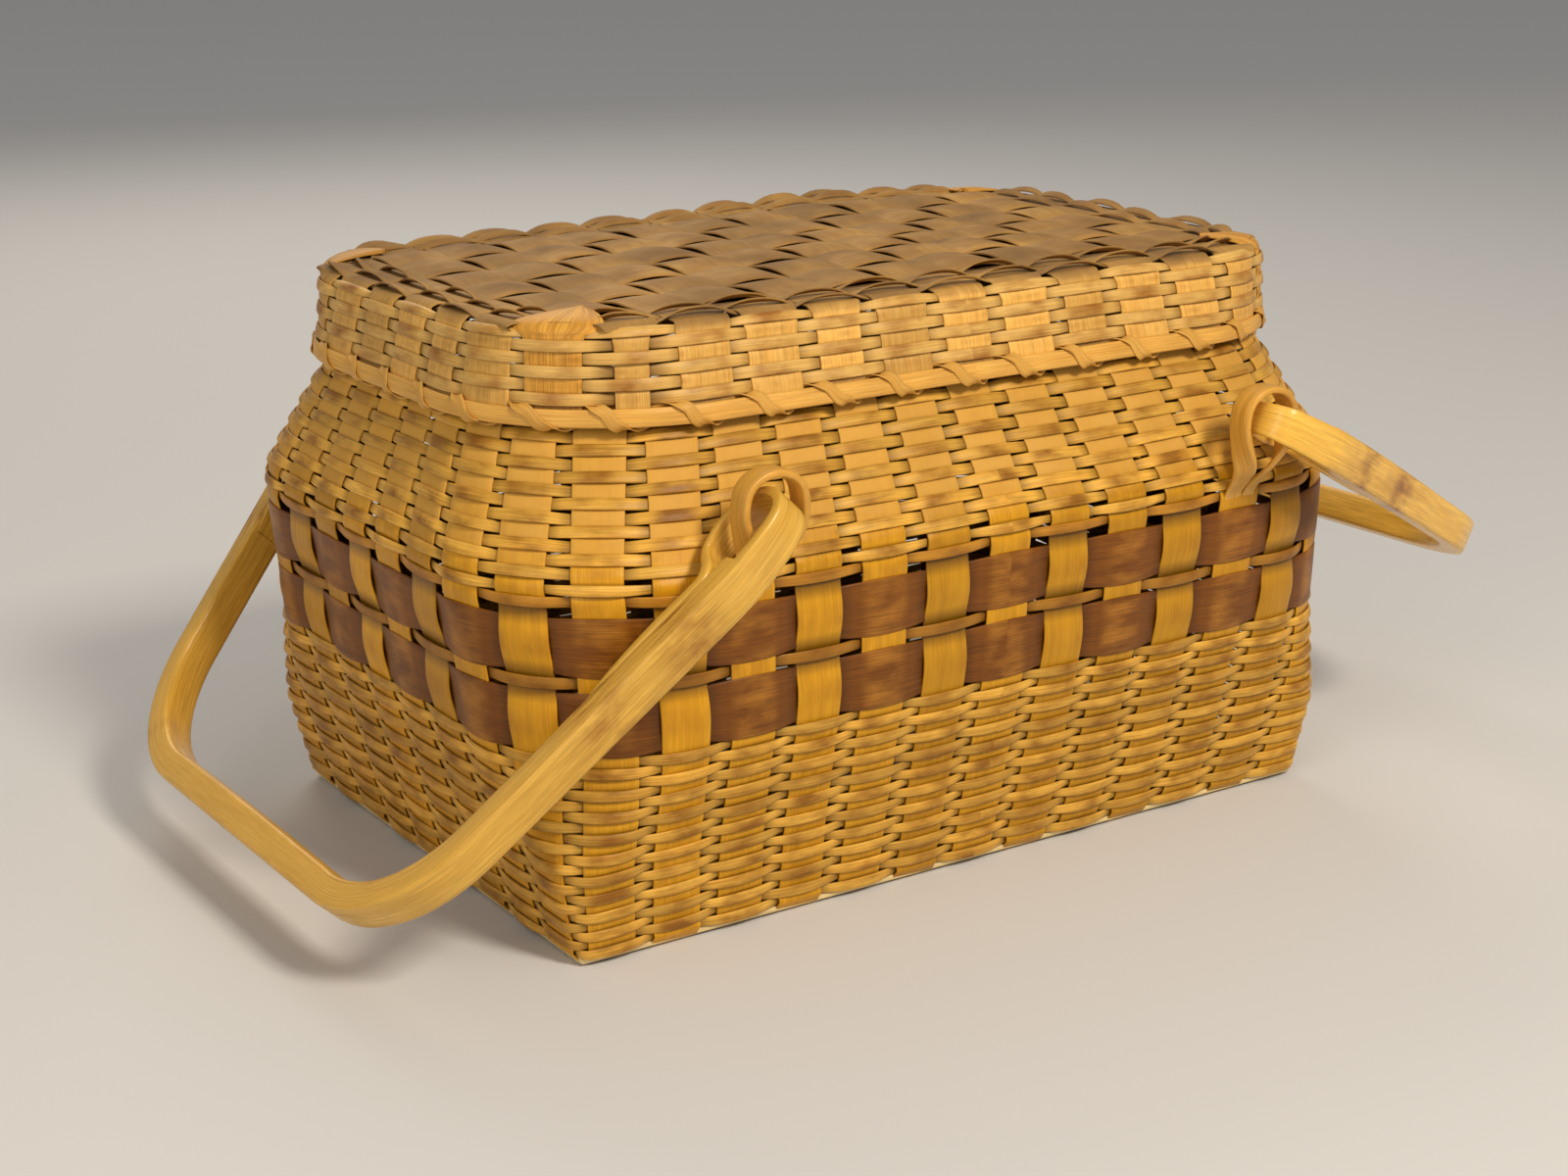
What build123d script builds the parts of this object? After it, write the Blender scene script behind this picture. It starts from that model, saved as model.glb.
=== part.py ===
from build123d import *
import os
from math import acos, atan2, cos, hypot, pi, radians, sin

# Lidded sewing basket woven from flat ash splints, with two bent-wood bails.
# The origin is at the centre of the underside of the base.
# +X runs along the length, -Y is the front and +Z is up.  Sizes are in millimetres.

# Woven body: half sizes and corner radius of the outside at each level
base_half_length = 189.0
base_half_width = 129.3
base_corner_radius = 3.0
corner_opening_z = 40.0        # below this the corners stay nearly square
corner_opening_radius = 16.0
band_bottom_z = 88.0
band_half_length = 210.0
band_half_width = 150.8
band_corner_radius = 65.0
fold_z = 156.0                 # widest level, where the shoulder turns in
fold_half_length = 218.2
fold_half_width = 154.1
fold_corner_radius = 80.0
shoulder_top_z = 207.3
shoulder_half_length = 195.8
shoulder_half_width = 124.2
shoulder_corner_radius = 74.0
neck_foot_z = 212.0
neck_top_z = 224.0
neck_half_length = 191.6
neck_half_width = 119.3
neck_corner_radius = 72.0

# Splints
weaver_thickness = 1.2
weave_clearance = 0.4          # between the ring of weavers and the standards
standard_width = 20.5
standard_thickness = 1.0
layer_clearance = 0.1          # between flat layers that lie on each other
row_gap = 0.4
cross_standard_count = 13
long_standard_count = 9
lower_row_count = 20
shoulder_row_count = 12
first_row_z = 0.8
brown_band_height = 25.6
divider_height = 4.8
fold_weaver_height = 4.4

# Neck rim
neck_hoop_height = 10.0
neck_hoop_stand_off = 0.6      # how far the outer hoop stands proud of the wall line
hoop_clearance = 0.15
outer_hoop_thickness = 1.8
inner_hoop_thickness = 1.8
lash_thickness = 0.6
lash_clearance = 0.15
neck_lash_width = 1.6

# Lid
lid_rim_z = 208.6
lid_top_z = 247.0
lid_rim_half_length = 201.5
lid_rim_half_width = 130.0
lid_rim_corner_radius = 82.0
lid_top_half_length = 192.5
lid_top_half_width = 119.0
lid_top_corner_radius = 54.0
lid_splint_width = 27.0
lid_cross_splint_count = 11
lid_long_splint_count = 6
lid_steps_per_quarter = 9.5    # splint pitches from the front centre to an end's centre
lid_corner_step = 6.0          # the corner splint's place, in pitches from the front centre
lid_row_count = 6
lid_hoop_height = 7.0
lid_hoop_stand_off = 1.0
lid_outer_hoop_thickness = 2.2
lid_inner_hoop_thickness = 2.0
lid_lash_width = 2.4
lid_ring_count = 4
lid_ring_width = 5.0
lid_ring_pitch = 5.6
lid_ring_inset = 1.5
lid_ring_thickness = 1.0
lid_fan_length = 20.0          # stretch of a top splint that turns in line with the rest
lid_tip_length = 16.0
lid_tip_width = 6.0
lid_tip_depth = 4.8            # of the corner splint's fold under the top

# Ears: bent splint loops that carry the bails
ear_step = 4.0                 # each ear stands in front of the fourth standard from the middle
ear_hole_radius = 11.5
ear_loop_thickness = 3.5
ear_loop_width = 11.0
ear_pivot_z = 183.0
ear_loop_stand_off = 6.9       # from the widest wall to the loop's inner face
ear_slit_depth = 20.0
ear_neck_depth = 25.0          # from the pivot down to where the loop turns flat
ear_stem_width = 14.0
ear_stem_thickness = 1.8
ear_stem_clearance = 0.2
ear_stem_length = 26.0         # tucked behind the upper brown band

# Bails
bail_width = 17.0
bail_thickness = 12.0
bail_reach = 209.0             # pivot to the middle of the grip
bail_corner_radius = 65.0      # on the middle line
bail_grip_half_width = 127.0   # middle line, where the arms lean in to the grip's corners
bail_bend_thickness = 5.0
bail_tail_thickness = 3.5
bail_ear_clearance = 0.5
bail_eye_length = 25.0
bail_notch_length = 8.0
bail_slit_end = 75.0
bail_slit_width = 0.6
bail_tail_end = 105.0
bail_bend_radius = 7.0
bail_edge_radius = 2.2
bail_left_drop = 46.0          # degrees below level at rest
bail_right_drop = 27.0

standard_setback = weaver_thickness + weave_clearance
opening_share = (corner_opening_z / band_bottom_z)

body_levels = [
    (0.0, base_half_length, base_half_width, base_corner_radius),
    (
        corner_opening_z,
        base_half_length + (band_half_length - base_half_length) * opening_share,
        base_half_width + (band_half_width - base_half_width) * opening_share,
        corner_opening_radius,
    ),
    (band_bottom_z, band_half_length, band_half_width, band_corner_radius),
    (fold_z, fold_half_length, fold_half_width, fold_corner_radius),
    (shoulder_top_z, shoulder_half_length, shoulder_half_width, shoulder_corner_radius),
    (neck_foot_z, neck_half_length, neck_half_width, neck_corner_radius),
    (neck_top_z, neck_half_length, neck_half_width, neck_corner_radius),
]
lid_levels = [
    (lid_rim_z, lid_rim_half_length, lid_rim_half_width, lid_rim_corner_radius),
    (lid_top_z, lid_top_half_length, lid_top_half_width, lid_top_corner_radius),
]


def outline(levels, z):
    """Half length, half width and corner radius of the outside at height z."""
    below = levels[0]
    above = levels[1]
    for low, high in zip(levels, levels[1:]):
        if z >= low[0]:
            below, above = low, high
    share = (z - below[0]) / (above[0] - below[0])
    return tuple(low + (high - low) * share for low, high in zip(below[1:], above[1:]))


def outline_wire(levels, z, offset):
    """Rounded rectangle at height z, offset outwards from the outside."""
    half_length, half_width, radius = outline(levels, z)
    shape = RectangleRounded(
        2 * (half_length + offset), 2 * (half_width + offset), radius + offset
    )
    return (Pos(0, 0, z) * shape).wire()


def ring(levels, low_z, high_z, outer_offset, thickness):
    """Closed hoop or weaver between two heights, following the wall."""
    outside = [outline_wire(levels, z, outer_offset) for z in (low_z, high_z)]
    inside = [outline_wire(levels, z, outer_offset - thickness) for z in (low_z, high_z)]
    return Solid.make_loft(outside, ruled=True) - Solid.make_loft(inside, ruled=True)


def seat(half_side, half_depth, radius, distance, width):
    """Place of a splint along a side: along, outward, turn, and how far a flat one sets back."""
    flat = half_side - radius
    beyond = abs(distance) - flat
    turn = 0.0
    along = abs(distance)
    outward = half_depth
    if beyond > 0:
        turn = beyond / radius
        along = flat + radius * sin(turn)
        outward = half_depth - radius + radius * cos(turn)
    overhang = min(max(beyond + width / 2, 0), width / 2)
    setback = hypot(radius, overhang) - radius
    side = 1 if distance >= 0 else -1
    return side * along, outward, side * turn, setback


def crosswise(along, outward, z):
    """A splint that runs front to back: its side is the front."""
    return Vector(along, -outward, z)


def lengthwise(along, outward, z):
    """A splint that runs end to end: its side is the right end."""
    return Vector(outward, along, z)


def section(place, spot, width, outer, inner):
    """Four corners of a flat splint; outer and inner are (outward shift, height)."""
    along, outward, turn, setback = spot
    corners = []
    for (shift, z), half in (
        (outer, -width / 2), (outer, width / 2), (inner, width / 2), (inner, -width / 2)
    ):
        reach = shift - setback
        corners.append(place(
            along + half * cos(turn) + reach * sin(turn),
            outward - half * sin(turn) + reach * cos(turn),
            z,
        ))
    return corners


def mirrored(corners, place):
    """The same corners on the opposite wall."""
    if place is crosswise:
        return [Vector(c.X, -c.Y, c.Z) for c in corners]
    return [Vector(-c.X, c.Y, c.Z) for c in corners]


def strip(sections):
    """Solid splint through a row of four-cornered sections."""
    return Solid.make_loft([Wire.make_polygon(s, close=True) for s in sections], ruled=True)


def body_side(place, z):
    """Half side, half depth and radius as a splint of this direction meets them."""
    half_length, half_width, radius = outline(body_levels, z)
    if place is crosswise:
        return half_length, half_width, radius
    return half_width, half_length, radius


def body_pitch(place, z, count):
    half_side, _, radius = body_side(place, z)
    return (2 * (half_side - radius) + pi * radius / 2) / count


def standard(place, step, count, base_z):
    """One standard: down one wall, across the base and up the other wall."""
    heights = [neck_top_z, neck_foot_z, shoulder_top_z, (shoulder_top_z + fold_z) / 2, fold_z]
    heights += [(fold_z + band_bottom_z) / 2, band_bottom_z]
    opening_steps = 6
    rise = (band_bottom_z - corner_opening_z) / opening_steps
    heights += [band_bottom_z - rise * (k + 1) for k in range(opening_steps)]
    wall = []
    for z in heights:
        side = body_side(place, z)
        spot = seat(*side, step * body_pitch(place, z, count), standard_width)
        outer = (-standard_setback, z)
        inner = (-standard_setback - standard_thickness, z)
        wall.append(section(place, spot, standard_width, outer, inner))
    side = body_side(place, base_z)
    spot = seat(*side, step * body_pitch(place, base_z, count), standard_width)
    outer = (-standard_setback, base_z)
    inner = (-standard_setback - standard_thickness, base_z + standard_thickness)
    wall.append(section(place, spot, standard_width, outer, inner))
    other = [mirrored(s, place) for s in reversed(wall)]
    return strip(wall + other)


def lid_pitch(z):
    half_length, half_width, radius = outline(lid_levels, z)
    quarter = half_length + half_width - 2 * radius + pi * radius / 2
    return quarter / lid_steps_per_quarter


def lid_side(place, z):
    half_length, half_width, radius = outline(lid_levels, z)
    if place is crosswise:
        return half_length, half_width, radius
    return half_width, half_length, radius


lid_foot_z = lid_rim_z + layer_clearance
lid_ring_z = lid_top_z - lid_ring_thickness
lid_cross_top_z = lid_ring_z - layer_clearance
lid_long_top_z = lid_cross_top_z - standard_thickness - layer_clearance
lid_tip_top_z = lid_top_z - lid_tip_depth


def lid_skirt_sections(place, step, top_z):
    """Sections of a lid splint from the rim up to its fold onto the top."""
    stages = 4
    sections = []
    for k in range(stages):
        z = lid_foot_z + (top_z - lid_foot_z) * k / stages
        spot = seat(*lid_side(place, z), step * lid_pitch(z), lid_splint_width)
        outer = (-standard_setback, z)
        inner = (-standard_setback - standard_thickness, z)
        sections.append(section(place, spot, lid_splint_width, outer, inner))
    spot = seat(*lid_side(place, top_z), step * lid_pitch(top_z), lid_splint_width)
    outer = (-standard_setback, top_z)
    inner = (-standard_setback - standard_thickness, top_z - standard_thickness)
    sections.append(section(place, spot, lid_splint_width, outer, inner))
    return sections


def lid_splint(place, step, top_z):
    """One lid splint: up the skirt, across the top and down again."""
    sections = lid_skirt_sections(place, step, top_z)
    half_depth = lid_side(place, top_z)[1]
    spot = (step * lid_pitch(top_z), half_depth - lid_fan_length, 0.0, 0.0)
    outer = (0.0, top_z)
    inner = (0.0, top_z - standard_thickness)
    sections.append(section(place, spot, lid_splint_width, outer, inner))
    return strip(sections + [mirrored(s, place) for s in reversed(sections)])


def lid_corner_splint():
    """Splint that fills the front right corner of the skirt, with its tip tucked under the top."""
    sections = lid_skirt_sections(crosswise, lid_corner_step, lid_tip_top_z)
    distance = lid_corner_step * lid_pitch(lid_tip_top_z)
    along, outward, turn, setback = seat(
        *lid_side(crosswise, lid_tip_top_z), distance, lid_splint_width
    )
    outer = (-standard_setback - lid_tip_length, lid_tip_top_z)
    inner = (-standard_setback - lid_tip_length, lid_tip_top_z - standard_thickness)
    spot = (along, outward, turn, setback)
    sections.append(section(crosswise, spot, lid_tip_width, outer, inner))
    return strip(sections)


def lash(place, side_of, pitch, step, low_z, high_z, outer, inner, width):
    """One turn of the lashing round a pair of hoops, in a gap between two splints."""
    middle_z = (low_z + high_z) / 2
    along, outward, turn, setback = seat(
        *side_of(place, middle_z), step * pitch(place, middle_z), width
    )
    turns = []
    for grow in (lash_clearance + lash_thickness, lash_clearance):
        rows = []
        for z in (low_z - grow, high_z + grow):
            spot = seat(*side_of(place, z), step * pitch(place, z), width)
            lean = (spot[0] - along) * sin(turn) + (spot[1] - outward) * cos(turn)
            leant = (along + lean * sin(turn), outward + lean * cos(turn), turn, setback)
            rows.append(section(place, leant, width, (outer + grow, z), (inner - grow, z)))
        turns.append(strip(rows))
    return turns[0] - turns[1]


def both_ends(solid, plane):
    return [solid, mirror(solid, about=plane)]


def save(name, solids):
    """Write one node as one solid or a group of separate solids."""
    os.makedirs("parts", exist_ok=True)
    solids = [s for shape in solids for s in shape.solids()]
    shape = solids[0] if len(solids) == 1 else Compound(children=solids)
    shape.label = name
    export_step(shape, f"parts/{name}.step")


# --- Standards of the body, two crossing layers on the base
cross_layer_z = standard_thickness + layer_clearance
cross_middle = (cross_standard_count - 1) / 2
long_middle = (long_standard_count - 1) / 2
for k in range(cross_standard_count):
    solid = standard(crosswise, k - cross_middle, cross_standard_count, cross_layer_z)
    save(f"cross_standard_{k + 1:02d}", [solid])
for k in range(long_standard_count):
    solid = standard(lengthwise, k - long_middle, long_standard_count, 0.0)
    save(f"long_standard_{k + 1:02d}", [solid])

# --- Rings of weavers round the body
lower_pitch = (band_bottom_z - first_row_z) / lower_row_count
lower_rows = []
for k in range(lower_row_count):
    low_z = first_row_z + k * lower_pitch
    lower_rows.append(ring(body_levels, low_z, low_z + lower_pitch - row_gap, 0, weaver_thickness))
save("lower_weavers", lower_rows)

lower_band_z = band_bottom_z
divider_z = lower_band_z + brown_band_height + row_gap
upper_band_z = divider_z + divider_height + row_gap
upper_band_top_z = upper_band_z + brown_band_height
fold_weaver_z = upper_band_top_z + row_gap
fold_weaver_top_z = fold_weaver_z + fold_weaver_height
stem_outside = ear_stem_clearance + ear_stem_thickness
upper_band_offset = stem_outside + layer_clearance + weaver_thickness
save("brown_weaver_lower", [
    ring(body_levels, lower_band_z, lower_band_z + brown_band_height, 0, weaver_thickness)
])
save("divider_weaver", [
    ring(body_levels, divider_z, divider_z + divider_height, 0, weaver_thickness)
])
save("brown_weaver_upper", [
    ring(body_levels, upper_band_z, upper_band_top_z, upper_band_offset, weaver_thickness)
])
save("fold_weaver", [
    ring(body_levels, fold_weaver_z, fold_weaver_top_z, 0, weaver_thickness)
])

shoulder_start_z = fold_z + row_gap
shoulder_pitch = (shoulder_top_z - shoulder_start_z) / shoulder_row_count
shoulder_rows = []
for k in range(shoulder_row_count):
    low_z = shoulder_start_z + k * shoulder_pitch
    high_z = low_z + shoulder_pitch - row_gap
    shoulder_rows.append(ring(body_levels, low_z, high_z, 0, weaver_thickness))
save("shoulder_weavers", shoulder_rows)

# --- Neck rim: two hoops with the standards' ends between them, lashed together
neck_setback = hypot(neck_corner_radius, standard_width / 2) - neck_corner_radius
neck_hoop_z = neck_top_z - neck_hoop_height
neck_inner_offset = -(standard_setback + neck_setback + standard_thickness + hoop_clearance)
neck_inside = neck_inner_offset - inner_hoop_thickness
save("neck_rim_outer", [
    ring(body_levels, neck_hoop_z, neck_top_z, neck_hoop_stand_off, outer_hoop_thickness)
])
save("neck_rim_inner", [
    ring(body_levels, neck_hoop_z, neck_top_z, neck_inner_offset, inner_hoop_thickness)
])


def neck_turn(place, step, count):
    return lash(
        place, body_side, lambda p, z: body_pitch(p, z, count), step,
        neck_hoop_z, neck_top_z, neck_hoop_stand_off, neck_inside, neck_lash_width,
    )


neck_turns = []
for k in range(cross_standard_count + 1):
    turn = neck_turn(crosswise, k - cross_standard_count / 2, cross_standard_count)
    neck_turns += both_ends(turn, Plane.XZ)
for k in range(1, long_standard_count):
    turn = neck_turn(lengthwise, k - long_standard_count / 2, long_standard_count)
    neck_turns += both_ends(turn, Plane.YZ)
save("neck_lashing", neck_turns)

# --- Lid
lid_cross_middle = (lid_cross_splint_count - 1) / 2
lid_long_middle = (lid_long_splint_count - 1) / 2
save("lid_cross_splints", [
    lid_splint(crosswise, k - lid_cross_middle, lid_cross_top_z)
    for k in range(lid_cross_splint_count)
])
save("lid_long_splints", [
    lid_splint(lengthwise, k - lid_long_middle, lid_long_top_z)
    for k in range(lid_long_splint_count)
])
corner = lid_corner_splint()
save("lid_corner_splints", [
    s for front in both_ends(corner, Plane.YZ) for s in both_ends(front, Plane.XZ)
])

top_half_length, top_half_width, top_radius = outline(lid_levels, lid_top_z)
lid_rings = []
for k in range(lid_ring_count):
    outer_inset = lid_ring_inset + k * lid_ring_pitch
    inner_inset = outer_inset + lid_ring_width
    outside, inside = (
        RectangleRounded(
            2 * (top_half_length - i), 2 * (top_half_width - i), top_radius - i
        )
        for i in (outer_inset, inner_inset)
    )
    lid_rings.append(Pos(0, 0, lid_ring_z) * extrude(outside - inside, lid_ring_thickness))
save("lid_top_weavers", lid_rings)

lid_hoop_top_z = lid_rim_z + lid_hoop_height
lid_row_start_z = lid_hoop_top_z + lash_clearance + lash_thickness + row_gap
lid_row_pitch = (lid_cross_top_z - lid_row_start_z) / lid_row_count
lid_rows = []
for k in range(lid_row_count):
    low_z = lid_row_start_z + k * lid_row_pitch
    high_z = low_z + lid_row_pitch - row_gap
    lid_rows.append(ring(lid_levels, low_z, high_z, 0, weaver_thickness))
save("lid_skirt_weavers", lid_rows)

lid_setback = hypot(lid_rim_corner_radius, lid_splint_width / 2) - lid_rim_corner_radius
lid_setback += hoop_clearance
lid_inner_offset = -(standard_setback + lid_setback + standard_thickness + hoop_clearance)
lid_inside = lid_inner_offset - lid_inner_hoop_thickness
save("lid_rim_outer", [
    ring(lid_levels, lid_rim_z, lid_hoop_top_z, lid_hoop_stand_off, lid_outer_hoop_thickness)
])
save("lid_rim_inner", [
    ring(lid_levels, lid_rim_z, lid_hoop_top_z, lid_inner_offset, lid_inner_hoop_thickness)
])


def lid_turn(place, step):
    return lash(
        place, lid_side, lambda p, z: lid_pitch(z), step,
        lid_rim_z, lid_hoop_top_z, lid_hoop_stand_off, lid_inside, lid_lash_width,
    )


lid_turns = []
for k in range(lid_cross_splint_count + 3):
    turn = lid_turn(crosswise, k - lid_cross_middle - 1.5)
    lid_turns += both_ends(turn, Plane.XZ)
for k in range(lid_long_splint_count - 1):
    turn = lid_turn(lengthwise, k - lid_long_middle + 0.5)
    lid_turns += both_ends(turn, Plane.YZ)
save("lid_lashing", lid_turns)

# --- Ears
ear_x = ear_step * body_pitch(crosswise, upper_band_top_z, cross_standard_count)
ear_inner_y = fold_half_width + ear_loop_stand_off
ear_outer_y = ear_inner_y + ear_loop_width


def teardrop(radius, half_foot, depth):
    """Circle drawn down to a narrower foot, in the plane of the wall."""
    reach = hypot(half_foot, depth)
    turn = atan2(half_foot, depth) + acos(radius / reach)
    side_x = radius * sin(turn)
    side_y = -radius * cos(turn)
    edges = [
        ThreePointArc((side_x, side_y), (0, radius), (-side_x, side_y)),
        Line((-side_x, side_y), (-half_foot, -depth)),
        Line((half_foot, -depth), (side_x, side_y)),
    ]
    if half_foot > 0:
        edges.append(Line((-half_foot, -depth), (half_foot, -depth)))
    return make_face(edges)


def flat_section(half, outer_y, inner_y, z):
    """Four corners of the ear's splint at height z, on the front wall."""
    return [
        Vector(ear_x - half, -outer_y, z),
        Vector(ear_x + half, -outer_y, z),
        Vector(ear_x + half, -inner_y, z),
        Vector(ear_x - half, -inner_y, z),
    ]


def ear():
    """Front right ear: a loop, a turn to flat, and a stem tucked behind the brown band."""
    wall_plane = Plane(
        origin=(ear_x, -ear_inner_y, ear_pivot_z), x_dir=(1, 0, 0), z_dir=(0, -1, 0)
    )
    half_stem = ear_stem_width / 2
    profile = teardrop(ear_hole_radius + ear_loop_thickness, half_stem, ear_neck_depth)
    profile -= teardrop(ear_hole_radius, 0, ear_slit_depth)
    loop = wall_plane * extrude(profile, ear_loop_width)
    loop_foot_z = ear_pivot_z - ear_neck_depth
    stem_top_z = fold_weaver_top_z + row_gap
    stem_foot_z = upper_band_top_z - ear_stem_length
    rows = [flat_section(half_stem, ear_outer_y, ear_inner_y, loop_foot_z)]
    for z in (stem_top_z, stem_foot_z):
        wall_y = outline(body_levels, z)[1]
        rows.append(flat_section(half_stem, wall_y + stem_outside, wall_y + ear_stem_clearance, z))
    return loop + strip(rows)


front_right_ear = ear()
back_right_ear = mirror(front_right_ear, about=Plane.XZ)
save("ear_front_right", [front_right_ear])
save("ear_back_right", [back_right_ear])
save("ear_front_left", [mirror(front_right_ear, about=Plane.YZ)])
save("ear_back_left", [mirror(back_right_ear, about=Plane.YZ)])

# --- Bails
arm_inner_y = ear_outer_y + bail_ear_clearance
arm_outer_y = arm_inner_y + bail_thickness
tail_outer_y = ear_inner_y - bail_ear_clearance
tail_inner_y = tail_outer_y - bail_tail_thickness
half_bend = bail_bend_thickness / 2
half_thickness = bail_thickness / 2
notch_x = bail_eye_length + bail_notch_length
notch_y = (tail_outer_y + arm_inner_y) / 2
arm_middle_y = (arm_inner_y + arm_outer_y) / 2
arm_slope = (arm_middle_y - bail_grip_half_width) / (bail_reach - notch_x)


def leaning(y, x):
    """Half width at x of a line along the arm that starts at y and leans in past the notch."""
    return y - arm_slope * (x - notch_x)


tail_join_x = notch_x + ear_loop_width
tail_join_y = leaning(notch_y, tail_join_x) - bail_tail_thickness

def bail_profile():
    """Bent strip seen square on: x is the distance from the pivots, y runs across the basket."""
    grip_out = bail_reach + half_thickness
    grip_in = bail_reach - half_thickness
    outside_radius = bail_corner_radius + half_thickness
    inside_radius = bail_corner_radius - half_thickness
    outside = make_face(Polyline(
        (-half_bend, -arm_outer_y),
        (notch_x, -arm_outer_y),
        (grip_out, -leaning(arm_outer_y, grip_out)),
        (grip_out, leaning(arm_outer_y, grip_out)),
        (notch_x, arm_outer_y),
        (-half_bend, arm_outer_y),
        close=True,
    ))
    far_corners = outside.vertices().sort_by(Axis.X)[-2:]
    outside = fillet(far_corners, outside_radius)
    near_corners = outside.vertices().filter_by(lambda v: v.X < 0)
    outside = fillet(near_corners, bail_bend_radius)
    inside = make_face(Polyline(
        (0, -arm_inner_y),
        (notch_x, -arm_inner_y),
        (grip_in, -leaning(arm_inner_y, grip_in)),
        (grip_in, leaning(arm_inner_y, grip_in)),
        (notch_x, arm_inner_y),
        (0, arm_inner_y),
        close=True,
    ))
    inside = fillet(inside.vertices().sort_by(Axis.X)[-2:], inside_radius)
    between_tails = make_face(Polyline(
        (-2 * bail_bend_radius, -tail_inner_y),
        (bail_eye_length, -tail_inner_y),
        (tail_join_x, -tail_join_y),
        (bail_tail_end, -leaning(arm_inner_y, bail_tail_end)),
        (bail_tail_end, leaning(arm_inner_y, bail_tail_end)),
        (tail_join_x, tail_join_y),
        (bail_eye_length, tail_inner_y),
        (-2 * bail_bend_radius, tail_inner_y),
        close=True,
    ))
    beyond_tails = inside - Rectangle(
        bail_tail_end, 3 * arm_outer_y, align=(Align.MIN, Align.CENTER)
    )
    profile = outside - between_tails - beyond_tails
    heels = profile.vertices().filter_by(
        lambda v: v.X < 0 and abs(abs(v.Y) - tail_inner_y) < row_gap
    )
    profile = fillet(heels, bail_tail_thickness)
    slit_y = leaning(arm_inner_y, bail_slit_end) - bail_slit_width
    for side in (-1, 1):
        profile -= make_face(Polyline(
            (half_bend, side * tail_outer_y),
            (bail_eye_length, side * tail_outer_y),
            (notch_x, side * notch_y),
            (bail_slit_end, side * (slit_y - bail_slit_width)),
            (bail_slit_end, side * slit_y),
            (notch_x, side * (notch_y + bail_slit_width)),
            (bail_eye_length, side * arm_inner_y),
            (half_bend, side * arm_inner_y),
            close=True,
        ))
    return profile


def bail(side, drop):
    """Bail on its ears, dropped below level by an angle; side is 1 right or -1 left."""
    lean = radians(drop)
    plane = Plane(
        origin=(side * ear_x, 0, ear_pivot_z),
        x_dir=(side * cos(lean), 0, -sin(lean)),
        z_dir=(side * sin(lean), 0, cos(lean)),
    )
    strip_solid = extrude(bail_profile(), bail_width / 2, both=True)
    grip_edges = strip_solid.edges().filter_by(
        lambda e: abs(abs(e.center().Z) - bail_width / 2) < row_gap
        and e.center().X > bail_tail_end / 2
        and e.length > bail_corner_radius
    )
    strip_solid = fillet(grip_edges, bail_edge_radius)
    return plane * strip_solid


save("bail_left", [bail(-1, bail_left_drop)])
save("bail_right", [bail(1, bail_right_drop)])
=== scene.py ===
from math import cos, pi, radians, sin

import bpy
import numpy as np
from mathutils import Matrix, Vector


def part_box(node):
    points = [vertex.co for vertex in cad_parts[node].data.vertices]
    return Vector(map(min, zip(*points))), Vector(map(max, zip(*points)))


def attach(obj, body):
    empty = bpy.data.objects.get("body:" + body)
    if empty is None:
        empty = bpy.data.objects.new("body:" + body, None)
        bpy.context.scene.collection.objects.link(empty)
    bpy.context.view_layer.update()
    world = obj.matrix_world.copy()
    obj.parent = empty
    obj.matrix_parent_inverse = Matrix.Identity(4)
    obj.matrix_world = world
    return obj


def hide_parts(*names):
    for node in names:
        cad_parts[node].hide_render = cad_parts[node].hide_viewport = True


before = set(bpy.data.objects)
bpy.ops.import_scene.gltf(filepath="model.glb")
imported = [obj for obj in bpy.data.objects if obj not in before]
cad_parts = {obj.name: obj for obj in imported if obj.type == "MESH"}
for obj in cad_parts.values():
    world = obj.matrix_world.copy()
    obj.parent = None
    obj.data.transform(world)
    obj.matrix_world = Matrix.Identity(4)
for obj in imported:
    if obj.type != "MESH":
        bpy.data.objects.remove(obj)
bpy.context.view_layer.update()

# ---------------------------------------------------------------- fine weavers of the body
# Twenty rows of narrow ash splint, split from the log along a growth ring and woven over
# one standard and under the next.  They are dry, honey coloured and stained by handling.

MM = 0.001
chance = np.random.default_rng(7)

# Each level of the wall: height, half length, half width, corner radius, in millimetres
BODY_LEVELS = np.array([
    [0.0, 189.0, 129.3, 3.0],
    [40.0, 198.5, 139.1, 16.0],
    [88.0, 210.0, 150.8, 65.0],
    [156.0, 218.2, 154.1, 80.0],
    [207.3, 195.8, 124.2, 74.0],
    [212.0, 191.6, 119.3, 72.0],
    [224.0, 191.6, 119.3, 72.0],
])
BODY_PITCHES = 44            # standards round the wall
FRONT_PITCHES = 6.5          # from the middle of the front to the middle of a corner
MID_WEAVE_DEPTH = 1.5        # from the outside of the wall to the middle of the weave
WEAVER_THICKNESS = 0.9
FOLD_EASE = (-4.0, -2.0, 0.0, 2.0, 4.0)    # heights over which each fold of the wall is rounded
CALM_FOOT, CALM_NECK, NECK_LEVEL = 14.0, 30.0, 212.0    # the wall is true near base and neck


def body_profile(level):
    """Half length, half width, corner radius and height of the wall, with its folds eased."""
    eased = [
        [np.interp(level + step, BODY_LEVELS[:, 0], BODY_LEVELS[:, k]) for k in (1, 2, 3)]
        for step in FOLD_EASE
    ]
    half_length, half_width, radius = np.mean(eased, axis=0)
    return half_length, half_width, radius, level


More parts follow.
